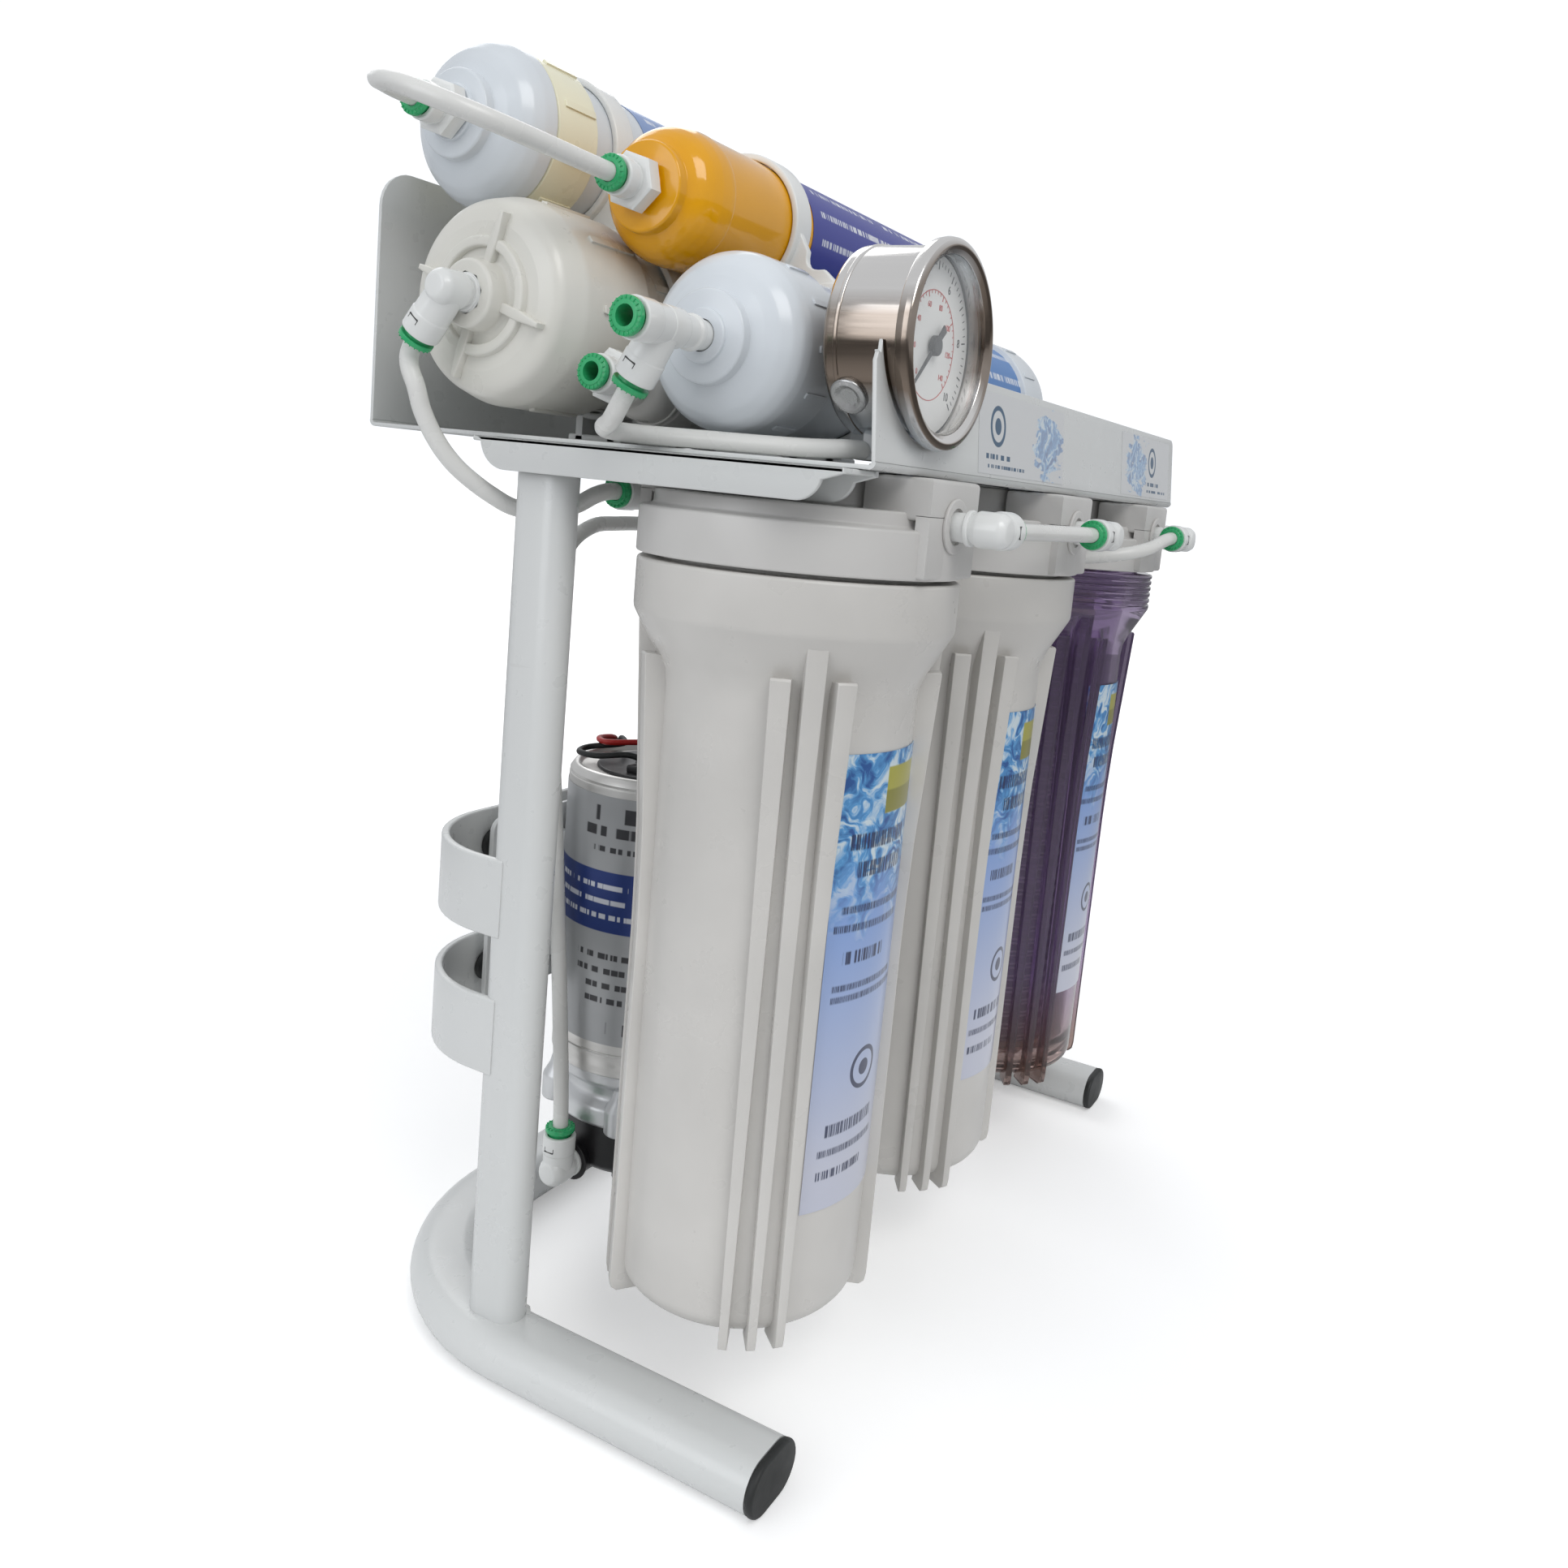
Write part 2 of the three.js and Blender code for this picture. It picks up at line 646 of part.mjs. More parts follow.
// Two rings and a web that hold one filter above another, and a foot that stands on the tray.
function doubleClip(name, x, upper, upperRadius, lower, lowerRadius) {
  const { width, wall } = CLIP;
  const ring = (place, radius) => {
    const outer = revolveX(rod(radius + wall, 0, width), ROUND);
    return outer.translate(x, place.y, place.z);
  };
  const bore = (place, radius) => revolveX(rod(radius, -1, width + 1), ROUND).translate(x, place.y, place.z);
  const from = new THREE.Vector2(lower.y, lower.z);
  const to = new THREE.Vector2(upper.y, upper.z);
  const along = to.clone().sub(from).normalize();
  const across = new THREE.Vector2(-along.y, along.x);
  const corner = (base, side, reach) => {
    const point = base.clone().addScaledVector(across, side * reach);
    return [point.x, point.y];
  };
  const webReach = 0.75;
  const web = extrudeX(
    outline([
      corner(from, 1, lowerRadius * webReach),
      corner(from, -1, lowerRadius * webReach),
      corner(to, -1, upperRadius * webReach),
      corner(to, 1, upperRadius * webReach),
    ]),
    x + 3,
    x + width - 3,
  );
  const foot = box(x, x + width, lower.y - 14, lower.y + 14, TRAY_TOP + GAP, lower.z - lowerRadius + 4);
  const clip = cut(
    join(ring(upper, upperRadius), ring(lower, lowerRadius), web, foot),
    bore(upper, upperRadius),
    bore(lower, lowerRadius),
  );
  add(name, clip, MATERIALS.whitePlastic);
}

// ---------- push fittings ----------

// An arm of a fitting along local -Z: a barrel with a stepped bore for the collet and the tube.
function armGeometry(length = ARM.length) {
  return revolve(
    [
      [0, -length],
      [ARM.radius, -length],
      [ARM.radius, 0],
      [0, 0],
    ],
    SMALL_ROUND,
  );
}

function armBore(length = ARM.length) {
  return revolve(
    [
      [0, -length - 1],
      [ARM.bore, -length - 1],
      [ARM.bore, -length + ARM.sleeve],
      [ARM.tubeBore, -length + ARM.sleeve],
      [ARM.tubeBore, -length + ARM.tubeDepth],
      [0, -length + ARM.tubeDepth],
    ],
    SMALL_ROUND,
  );
}

function colletGeometry() {
  return revolve(
    [
      [COLLET.bore, -COLLET.thickness],
      [COLLET.flange, -COLLET.thickness],
      [COLLET.flange, 0],
      [COLLET.sleeve, 0],
      [COLLET.sleeve, ARM.gap + COLLET.length],
      [COLLET.bore, ARM.gap + COLLET.length],
    ],
    SMALL_ROUND,
  );
}

function addCollet(name, frame, along = 'z', length = ARM.length) {
  const collet = add(name, colletGeometry(), MATERIALS.greenCollet, frame);
  const reach = length + ARM.gap;
  if (along === 'x') {
    collet.position.x = -reach;
    collet.rotation.y = Math.PI / 2;
  } else {
    collet.position.z = -reach;
  }
  return collet;
}

// Elbow: the shank runs along local +X from the corner and the arm along local -Z.
function elbow(name, corner, stem, arm, stemLength, colletName, length = ARM.length) {
  const frame = fittingFrame(corner, stem, arm);
  const knee = revolveX(rod(ARM.radius, -ARM.radius, ARM.radius), SMALL_ROUND);
  const shank = revolveX(rod(STEM_RADIUS, 0, stemLength), SMALL_ROUND);
  const body = cut(join(armGeometry(length), knee, shank), armBore(length));
  add(name, body, MATERIALS.whitePlastic, frame);
  if (colletName) addCollet(colletName, frame, 'z', length);
}

// Straight fitting with a hexagon, screwed into a filter along +X, its mouth facing -X.
function straightFitting(name, spec, colletName) {
  const tilt = spec.tilt ?? 0;
  const stem = at(Math.cos(tilt), 0, -Math.sin(tilt));
  const mouth = at(spec.near + spec.length / 2, spec.y, spec.z).addScaledVector(stem, -spec.length / 2);
  const frame = fittingFrame(mouth, stem, at(-Math.sin(tilt), 0, -Math.cos(tilt)));
  const barrel = STRAIGHT_BARREL;
  const hexagon = revolveX(rod(9.8, -6.5, -GAP), 6);
  const body = revolveX(rod(ARM.radius, -barrel, -1), SMALL_ROUND);
  const shank = revolveX(rod(STEM_RADIUS, -2, 7), SMALL_ROUND);
  const bore = armBore(barrel).rotateY(Math.PI / 2);
  add(name, cut(join(hexagon, body, shank), bore), MATERIALS.whitePlastic, frame);
  addCollet(colletName, frame, 'x', barrel);
}

// Tee: a run along X with one open mouth facing -X, and a branch.
function tee(name, corner, branch, stemLength) {
  const frame = fittingFrame(corner, at(1, 0, 0), branch);
  const run = armGeometry().rotateY(Math.PI / 2);
  const shank = revolveX(rod(STEM_RADIUS, 0, stemLength), SMALL_ROUND);
  const knee = revolveX(rod(ARM.radius, -ARM.radius, ARM.radius), SMALL_ROUND);
  const body = join(armGeometry(LONG_ARM), run, knee, shank);
  const bores = [armBore(LONG_ARM), armBore().rotateY(Math.PI / 2)];
  add(name, cut(body, ...bores), MATERIALS.whitePlastic, frame);
  addCollet('tee_run_collet', frame, 'x');
  addCollet('tee_branch_collet', frame, 'z', LONG_ARM);
}

// ---------- gauge ----------

function gauge() {
  const put = (mesh) => mesh.position.set(GAUGE.x, 0, GAUGE.z);
  const { front, back, bezel, drum, stemY } = GAUGE;
  const rim = front + 5.2;
  const drumBody = revolveY([
    [0, back - 1.2],
    [drum - 1.2, back - 1.2],
    [drum - 1.2, rim],
    [drum, rim],
    [drum, back - 2],
    [drum - 2, back],
    [0, back],
  ]);
  const stem = revolve(rod(7.5, TRAY_TOP + 2 - GAUGE.z, -drum + 2), 6).translate(0, stemY, 0);
  put(add('gauge_case', join(drumBody, stem), MATERIALS.stainless));

  put(
    add(
      'gauge_bezel',
      revolveY([
        [28.6, front + 3.4],
        [29.2, front],
        [31.5, front - 0.8],
        [bezel, front + 1.2],
        [bezel, rim - GAP],
        [28.6, rim - GAP],
      ]),
      MATERIALS.stainless,
    ),
  );
  put(add('gauge_lens', revolveY(rod(28.3, front + 2, front + 3.4)), MATERIALS.glass));
  put(add('gauge_dial', revolveY(rod(29.6, front + 8, front + 9)), MATERIALS.dialWhite));

  const zeroAngle = (135 * Math.PI) / 180; // the needle rests on the lower left of the dial
  const blade = box(-0.9, 0.9, front + 5.8, front + 6.6, -9, 23);
  const hub = revolveY(rod(3.4, front + 5.4, front + 7.4), SMALL_ROUND);
  const needle = add('gauge_needle', join(blade, hub), MATERIALS.needleBlack);
  needle.rotation.y = -zeroAngle;
  put(needle);
}

// ---------- pump ----------

function pump() {
  const put = (mesh) => mesh.position.set(PUMP.x, PUMP.y, 0);
  const { radius, top, motorBottom, headBottom, bottom, portZ } = PUMP;
  put(
    add(
      'pump_motor',
      revolve([
        [0, top - 2],
        [radius - 1.5, top - 2],
        [radius - 1.5, motorBottom],
        [radius, motorBottom],
        [radius, top - 3],
        [radius - 3, top],
        [0, top],
      ]),
      MATERIALS.motorSteel,
    ),
  );
  const rotorProfile = [[0, 86], [4, 86], [4, 115], [30, 115], [30, 200], [4, 200], [4, 216], [0, 216]];
  put(add('pump_rotor', revolve(rotorProfile, 16), MATERIALS.aluminium));

  const headBody = revolve([
    [0, headBottom],
    [radius - 3, headBottom],
    [radius, headBottom + 4],
    [radius, motorBottom - 10],
    [radius - 4, motorBottom - GAP],
    [5, motorBottom - GAP],
    [5, motorBottom - 14],
    [0, motorBottom - 14],
  ]);
  const towers = [0, 1, 2, 3, 4].map((k) => {
    const angle = 1.03 + (k * 2 * Math.PI) / 5; // leaves room for the elbow
    const profile = [[0, headBottom], [7, headBottom], [7, 78], [3.5, 90], [0, 90]];
    return revolve(profile, 10).translate(37 * Math.cos(angle), 37 * Math.sin(angle), 0);
  });
  put(add('pump_head', join(headBody, ...towers), MATERIALS.aluminium));

  const portY = 6;
  const valveBody = revolve([
    [0, bottom],
    [32, bottom],
    [36, bottom + 4],
    [36, headBottom - GAP],
    [0, headBottom - GAP],
  ]);
  const portBoss = revolveX(rod(7, -40, -30), SMALL_ROUND).translate(0, portY, portZ - 1);
  const farBoss = revolveX(rod(7, 30, 50), SMALL_ROUND).translate(0, portY, portZ - 1);
  const farPort = revolve(rod(6.8, portZ - 7, portZ + 22), SMALL_ROUND).translate(48, portY, 0);
  const farBore = revolve(rod(ARM.tubeBore, portZ + 10, portZ + 23), SMALL_ROUND).translate(48, portY, 0);
  const portBore = revolveX(rod(PORT_RADIUS, -42, -33), SMALL_ROUND).translate(0, portY, portZ - 1);
  put(
    add(
      'pump_valve_head',
      cut(join(valveBody, portBoss, farBoss, farPort), farBore, portBore),
      MATERIALS.blackPlastic,
    ),
  );

  const plateY = radius + 2;
  const plate = box(-58, 58, plateY, plateY + 2.5, 120, 200);
  const cradle = box(-22, 22, radius - 5, plateY + 1, 130, 190);
  const motorClearance = revolve(rod(radius + GAP, 100, 220));
  const feet = BAR.heights.flatMap((z) =>
    [-50, 50].map((x) => {
      const foot = revolveY(rod(7, plateY + 1, BAR.rear - BAR.sheet - PUMP.y - GAP), SMALL_ROUND);
      return foot.translate(x, 0, z);
    }),
  );
  put(add('pump_bracket', cut(join(plate, cradle, ...feet), motorClearance), MATERIALS.paintedSteel));
}

// ---------- plumbing ----------

// Point inside a fitting's arm where its tube stops.
const seat = (corner, arm, length = ARM.length) =>
  corner.clone().addScaledVector(arm.clone().normalize(), length - ARM.tubeDepth + 1);

// Point on the line of an arm, a given distance beyond the corner.
const beyond = (corner, arm, distance) => corner.clone().addScaledVector(arm.clone().normalize(), distance);

function plumbing() {
  const portZ = HEAD.portZ;
  const frontY = -HEAD.bossFace - 14;
  const rearY = HEAD.bossFace + 13;
  const [blockX, carbonX, sedimentX] = [-HOUSING_PITCH, 0, HOUSING_PITCH];
  const [left, right, down] = [at(-1, 0, 0), at(1, 0, 0), at(0, 0, -1)];
  const [intoFront, intoRear] = [at(0, 1, 0), at(0, -1, 0)];
  const bossStem = 18;

  const blockFront = at(blockX, frontY, portZ);
  const carbonFront = at(carbonX, frontY, portZ);
  const sedimentFront = at(sedimentX, frontY, portZ);
  const blockRear = at(blockX, rearY, portZ);
  elbow('block_front_elbow', blockFront, intoFront, right, bossStem);
  elbow('carbon_front_elbow', carbonFront, intoFront, left, bossStem, 'carbon_front_collet');
  elbow('sediment_front_elbow', sedimentFront, intoFront, left, bossStem, 'sediment_front_collet');
  elbow('block_rear_elbow', blockRear, intoRear, left, bossStem);
  const clear = ARM.gap + COLLET.thickness + 1; // from the end of an arm to where its tube may bend
  const leave = (corner, arm, length = ARM.length) => [
    seat(corner, arm, length),
    beyond(corner, arm, length + clear),
  ];
  const enter = (corner, arm) => leave(corner, arm).reverse();
  add('link_tube', tubing([seat(blockFront, right), seat(carbonFront, left)], 1), MATERIALS.tubing);

  const gapX = HOUSING_PITCH / 2;
  add(
    'crossover_tube',
    tubing(
      [
        ...leave(sedimentFront, left),
        at(gapX + 14, frontY + 6, portZ - 7),
        at(gapX, -40, portZ - 13),
        at(gapX, 0, portZ - 14),
        at(gapX, 55, portZ - 10),
        at(gapX - 12, 88, portZ - 3),
        at(30, 104, portZ),
        at(8, 100, portZ),
        at(carbonX, rearY + 10, portZ),
        at(carbonX, HEAD.bossFace - 5, portZ),
      ],
      20,
    ),
    MATERIALS.tubing,
  );

  const pumpCorner = at(PUMP.x - 48, PUMP.y + 6, PUMP.portZ - 1);
  const up = at(0, 0, 1);
  elbow('pump_outlet_elbow', pumpCorner, right, up, 12, 'pump_outlet_collet');
  add(
    'pump_tube',
    tubing(
      [
        ...leave(pumpCorner, up),
        at(-134, 96, 130),
        at(-134, 104, 200),
        at(-140, 106, 262),
        at(-137, 108, 308),
        at(-118, 112, 322),
        at(-80, 118, 325),
        at(30, 121, 322),
        at(95, 115, 328),
        at(sedimentX - 4, 104, portZ - 2),
        at(sedimentX, rearY + 10, portZ),
        at(sedimentX, HEAD.bossFace - 5, portZ),
      ],
      26,
    ),
    MATERIALS.tubing,
  );

  const capCorner = at(-213.5, MEMBRANE.y, MEMBRANE.z);
  const capArm = at(0, Math.sin(0.69), -Math.cos(0.69));
  elbow('membrane_elbow', capCorner, right, capArm, 15, 'membrane_collet', LONG_ARM);
  add(
    'membrane_tube',
    tubing(
      [
        ...leave(capCorner, capArm, LONG_ARM),
        at(-212.5, 113, 372),
        at(-208.5, 111.5, 360),
        at(-200, 107, 346),
        at(-188, 99.5, 335.5),
        at(-177, 94, 330.5),
        at(-165, 82, 332.5),
        ...enter(blockRear, left),
      ],
      14,
    ),
    MATERIALS.tubing,
  );

  const teeCorner = at(-208, POST_FILTER.y, POST_FILTER.z);
  const branch = at(0, Math.sin(0.54), -Math.cos(0.54));
  tee('tee_fitting', teeCorner, branch, 26);
  const stemX = GAUGE.x - 9;
  const floorZ = TRAY_TOP + TUBE_RADIUS + GAP;
  add(
    'gauge_tube',
    tubing(
      [
        ...leave(teeCorner, branch, LONG_ARM),
        at(-204.5, 33, floorZ + 3.2),
        at(-199, 40, floorZ + 0.5),
        at(-189, 38, floorZ),
        at(-181, 18, floorZ),
        at(-168, -20, floorZ + 0.5),
        at(stemX - 2, GAUGE.stemY, floorZ + 1.5),
        at(stemX, GAUGE.stemY, floorZ + 1.5),
      ],
      16,
    ),
    MATERIALS.tubing,
  );

  straightFitting('mineral_fitting', MINERAL, 'mineral_collet');
  straightFitting('polishing_fitting', POLISHING, 'polishing_collet');
  straightFitting('capsule_fitting', CAPSULE, 'capsule_collet');
  const inside = STRAIGHT_BARREL - ARM.tubeDepth + 1;
  const outside = STRAIGHT_BARREL + ARM.gap + COLLET.thickness + 1;
  const leaveStraight = ({ near, y, z }) => [at(near - inside, y, z), at(near - outside, y, z)];
  const loopX = -217;
  add(
    'loop_tube',
    tubing(
      [
        ...leaveStraight(MINERAL),
        at(loopX - 18, MINERAL.y + 5, MINERAL.z + 2.5),
        at(loopX - 30, MINERAL.y + 17, MINERAL.z + 6.5),
        at(loopX - 32, MINERAL.y + 33, MINERAL.z + 11.5),
        at(loopX - 24, POLISHING.y - 22, POLISHING.z - 6),
        at(loopX - 10, POLISHING.y - 7, POLISHING.z - 1.5),
        ...leaveStraight(POLISHING).reverse(),
      ],
      16,
    ),
    MATERIALS.tubing,
  );
}

// ---------- the unit ----------

stand();
footCap('foot_cap_left', -LEG.x);
footCap('foot_cap_right', LEG.x);
tray();
housing('block', -1, -0.11, MATERIALS.whitePlastic, MATERIALS.carbonBlock);
housing('carbon', 0, 0.04, MATERIALS.whitePlastic, MATERIALS.carbonBlock);
housing('sediment', 1, 0.03, MATERIALS.smokyPlastic, MATERIALS.filterMedia);
membrane();
inlineFilter('post_carbon_filter', POST_FILTER, MATERIALS.whitePlastic);
inlineFilter('mineral_filter', MINERAL, MATERIALS.amberPlastic);
inlineFilter('polishing_filter', POLISHING, MATERIALS.warmPlastic);
inlineFilter('capsule_filter', CAPSULE, MATERIALS.whitePlastic);
const ringClearance = 0.65;
doubleClip(
  'mineral_clip',
  CLIP.mineralX,
  MINERAL,
  MINERAL.body + ringClearance,
  POST_FILTER,
  POST_FILTER.body + ringClearance,
);
doubleClip(
  'polishing_clip',
  CLIP.polishingX,
  POLISHING,
  POLISHING.body + ringClearance,
  MEMBRANE,
  MEMBRANE.body + ringClearance,
);
gauge();
pump();
plumbing();

unit.position.y = -LEG.railY; // the origin is on the floor, under the middle of the rear rail

export default unit;
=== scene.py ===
"""Looks of the reverse osmosis unit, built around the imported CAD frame.

Shapes are drawn in millimetres in the row frame and turned into metres when a piece is made.
Places come from the CAD nodes' boxes, from their joints' axes and from the plane of the housings.
"""

import json
import math

import bmesh
import bpy
from mathutils import Matrix, Vector


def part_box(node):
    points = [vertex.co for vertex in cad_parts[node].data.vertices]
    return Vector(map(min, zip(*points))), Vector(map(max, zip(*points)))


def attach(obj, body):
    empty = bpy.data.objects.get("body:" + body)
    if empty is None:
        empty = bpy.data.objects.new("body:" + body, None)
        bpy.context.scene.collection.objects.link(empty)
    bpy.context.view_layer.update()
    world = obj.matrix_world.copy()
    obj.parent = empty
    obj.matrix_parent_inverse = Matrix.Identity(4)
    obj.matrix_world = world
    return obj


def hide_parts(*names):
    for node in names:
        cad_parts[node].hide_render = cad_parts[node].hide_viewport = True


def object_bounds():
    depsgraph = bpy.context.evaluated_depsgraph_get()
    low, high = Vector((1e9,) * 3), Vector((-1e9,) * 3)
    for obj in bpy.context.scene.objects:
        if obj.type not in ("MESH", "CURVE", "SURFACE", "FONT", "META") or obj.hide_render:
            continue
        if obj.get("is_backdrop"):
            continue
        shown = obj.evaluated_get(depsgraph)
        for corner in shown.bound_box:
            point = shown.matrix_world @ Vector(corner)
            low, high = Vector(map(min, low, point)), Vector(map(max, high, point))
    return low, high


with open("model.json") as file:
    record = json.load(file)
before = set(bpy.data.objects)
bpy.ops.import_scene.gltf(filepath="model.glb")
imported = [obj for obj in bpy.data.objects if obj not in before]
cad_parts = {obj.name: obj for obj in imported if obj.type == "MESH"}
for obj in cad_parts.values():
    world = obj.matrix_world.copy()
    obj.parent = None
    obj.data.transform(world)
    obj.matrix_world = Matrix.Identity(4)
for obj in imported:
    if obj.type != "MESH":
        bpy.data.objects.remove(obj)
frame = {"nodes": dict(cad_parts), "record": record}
cad_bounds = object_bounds()
record = frame["record"]

MM = 0.001
PI = math.pi
RIGHT, LEFT = Vector((1, 0, 0)), Vector((-1, 0, 0))
REARWARD, FORWARD = Vector((0, 1, 0)), Vector((0, -1, 0))
UP, DOWN = Vector((0, 0, 1)), Vector((0, 0, -1))


# ---------- places in the frame ----------

def box(node):
    low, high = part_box(node)
    return Vector(low) / MM, Vector(high) / MM


def centre(node):
    low, high = box(node)
    return (low + high) / 2


def unique_vertices(node):
    found = {}
    for vertex in frame["nodes"][node].data.vertices:
        point = vertex.co / MM
        found[tuple(round(value, 2) for value in point)] = point
    return list(found.values())


def joint_axis(body):
    axes = [joint["axis"] for joint in record["behaviour"]["joints"] if joint["child"] == body]
    return Vector(axes[0]).normalized()


HOUSING_Y = centre("carbon_seal").y
STAGES = ("block", "carbon", "sediment")
STAGE_X = {stage: centre(stage + "_seal").x for stage in STAGES}
PORT_Z = centre("block_front_elbow").z
GAUGE_X = centre("gauge_bezel").x
GAUGE_Z = centre("gauge_bezel").z


def at(x, y, z):
    """A point given from the plane through the housings' axes."""
    return Vector((x, HOUSING_Y + y, z))


# ---------- sizes that several functions share ----------
# Lengths are in millimetres. Turns, spacings and tilts are in radians, label angles and the sweep in degrees.

POST_X, POST_Y = 182, HOUSING_Y + 77
POST_FOOT = 17  # height at which the posts leave the base tube
CHANNEL_SHEET = 2
CROSS_BAR_Z = (133, 187)
CROSS_BAR_REAR = HOUSING_Y + 138.5
TRAY_SHEET = 1.5
FRONT_FLANGE = 37  # height of the tray's front flange
FRONT_LEAN = 3.5  # how far that flange leans back at its top
GAUGE_STEM_Y = HOUSING_Y - 33

SUMP_TURN = {"block": -0.11, "carbon": 0.04, "sediment": 0.03}
RIB_SPACING = 0.205
RIB_WIDTH = {"tip": 3.2, "top": 7.2}
RIB_FULL_TOP = 294  # height at which a rib would reach its full width
LABEL_ANGLE = {"block": (-124, -62), "carbon": (-118, -62), "sediment": (-117, -62)}

CAPSULE_TILT = 0.049

TUBE_RADIUS = 3.175
ARM_RADIUS = 6.8
ARM_LENGTH = 16.0
LONG_ARM = 19.5
BARREL = 13.5
COLLET_FLANGE = 2.2
COLLET_GAP = 1.6
REAR_PORT_FACE = 59.4

DIAL_SWEEP = 270


# ---------- matrices ----------

# Stands a flat outline up, seen from the front: its Y becomes Z.
FACING_FRONT = Matrix(((1, 0, 0, 0), (0, 0, -1, 0), (0, 1, 0, 0), (0, 0, 0, 1)))


def move(x, y, z):
    return Matrix.Translation((x, y, z))


def turn_z(angle):
    return Matrix.Rotation(angle, 4, "Z")


def along_x(y, z):
    """Puts a lathe's axis along +X, with its heights as x, or stands a flat outline up across X."""
    return Matrix(((0, 0, 1, 0), (1, 0, 0, y), (0, 1, 0, z), (0, 0, 0, 1)))


def along_y(x, z):
    return Matrix(((0, 1, 0, x), (0, 0, 1, 0), (1, 0, 0, z), (0, 0, 0, 1)))


def frame_matrix(origin, x_axis, z_axis):
    x = x_axis.normalized()
    z = z_axis.normalized()
    rotation = Matrix((x, z.cross(x), z)).transposed().to_4x4()
    return Matrix.Translation(origin) @ rotation


# ---------- outlines ----------

def arc(cx, cy, radius, start, end, steps):
    points = []
    for k in range(steps + 1):
        angle = math.radians(start + (end - start) * k / steps)
        points.append((cx + radius * math.cos(angle), cy + radius * math.sin(angle)))
    return points


def fillet(points):
    """Rounds each (x, y, radius) corner of an open line of points."""
    line = []
    for i, (x, y, radius) in enumerate(points):
        corner = Vector((x, y))
        back = Vector(points[i - 1][:2]) - corner
        ahead = Vector(points[(i + 1) % len(points)][:2]) - corner
        inside = 0 < i < len(points) - 1
        if radius <= 0 or not inside or back.angle(ahead) > PI - 0.03:
            line.append((x, y))
            continue
        angle = back.angle(ahead)
        reach = min(radius / math.tan(angle / 2), back.length * 0.49, ahead.length * 0.49)
        radius = reach * math.tan(angle / 2)
        back.normalize()
        ahead.normalize()
        middle = corner + (back + ahead).normalized() * (radius / math.sin(angle / 2))
        first = back * reach + corner - middle
        last = ahead * reach + corner - middle
        start = math.atan2(first.y, first.x)
        turn = (math.atan2(last.y, last.x) - start + PI) % (2 * PI) - PI
        steps = max(2, round(abs(turn) / math.radians(15)))
        for k in range(steps + 1):
            a = start + turn * k / steps
            line.append((middle.x + radius * math.cos(a), middle.y + radius * math.sin(a)))
    return line


def ring_outline(cx, cy, radius, steps=64):
    return arc(cx, cy, radius, 0, 360 * (steps - 1) / steps, steps - 1)


def oval_outline(width, depth, steps=12):
    """A flat oval, long along x when it is wider than deep."""
    radius = min(width, depth) / 2
    reach = abs(width - depth) / 2
    if width >= depth:
        return arc(reach, 0, radius, -90, 90, steps) + arc(-reach, 0, radius, 90, 270, steps)
    return arc(0, reach, radius, 0, 180, steps) + arc(0, -reach, radius, 180, 360, steps)


# ---------- shapes: vertices in millimetres and faces ----------

class Shape:
    def __init__(self):
        self.vertices = []
        self.faces = []

    def add(self, part, matrix=None):
        vertices, faces = part
        base = len(self.vertices)
        for vertex in vertices:
            point = Vector(vertex)
            self.vertices.append(matrix @ point if matrix else point)
        self.faces += [tuple(base + i for i in face) for face in faces]
        return self

    def lathe(self, points, segments, matrix=None):
        return self.add(lathe(points, segments), matrix)

    def block(self, low, high, bevel=0.5, matrix=None):
        """Adds a box with rounded edges."""
        low, high = Vector(low), Vector(high)
        size = high - low
        x, y = size.x / 2, size.y / 2
        place = Matrix.Translation((low + high) / 2)
        part = plate([(-x, -y), (x, -y), (x, y), (-x, y)], size.z, bevel=bevel)
        return self.add(part, matrix @ place if matrix else place)


def lathe(points, segments):
    """Turns (radius, height, fillet) points about Z. An end off the axis closes to the first point."""
    line = fillet(points)
    closed = line[0][0] > 1e-6 and line[-1][0] > 1e-6
    vertices = []
    rows = []
    for radius, height in line:
        if radius < 1e-6:
            rows.append([len(vertices)] * segments)
            vertices.append((0, 0, height))
            continue
        rows.append(list(range(len(vertices), len(vertices) + segments)))
        for k in range(segments):
            angle = 2 * PI * k / segments
            vertices.append((radius * math.cos(angle), radius * math.sin(angle), height))
    if closed:
        rows.append(rows[0])
    faces = []
    for lower, upper in zip(rows, rows[1:]):
        for k in range(segments):
            face = [lower[k], lower[(k + 1) % segments], upper[(k + 1) % segments], upper[k]]
            face = list(dict.fromkeys(face))
            if len(face) > 2:
                faces.append(tuple(face))
    return vertices, faces


def curve_part(curve):
    """The mesh that a curve makes, as vertices and faces. The curve is removed."""
    holder = bpy.data.objects.new(curve.name, curve)
    mesh = bpy.data.meshes.new_from_object(holder)
    vertices = [vertex.co.copy() for vertex in mesh.vertices]
    faces = [tuple(polygon.vertices) for polygon in mesh.polygons]
    bpy.data.objects.remove(holder)
    bpy.data.curves.remove(curve)
    bpy.data.meshes.remove(mesh)
    return vertices, faces


def plate(outline, thickness, holes=(), bevel=0.4):
    """A flat outline in X and Y, thick along Z about Z = 0, with rounded edges."""
    curve = bpy.data.curves.new("plate", "CURVE")
    curve.dimensions = "2D"
    curve.fill_mode = "BOTH"
    curve.extrude = thickness / 2 - bevel
    curve.bevel_depth = bevel
    curve.bevel_resolution = 2
    curve.offset = -bevel
    for ring in (outline, *holes):
        spline = curve.splines.new("POLY")
        spline.points.add(len(ring) - 1)
        for point, (x, y) in zip(spline.points, ring):
            point.co = (x, y, 0, 1)
        spline.use_cyclic_u = True
    return curve_part(curve)


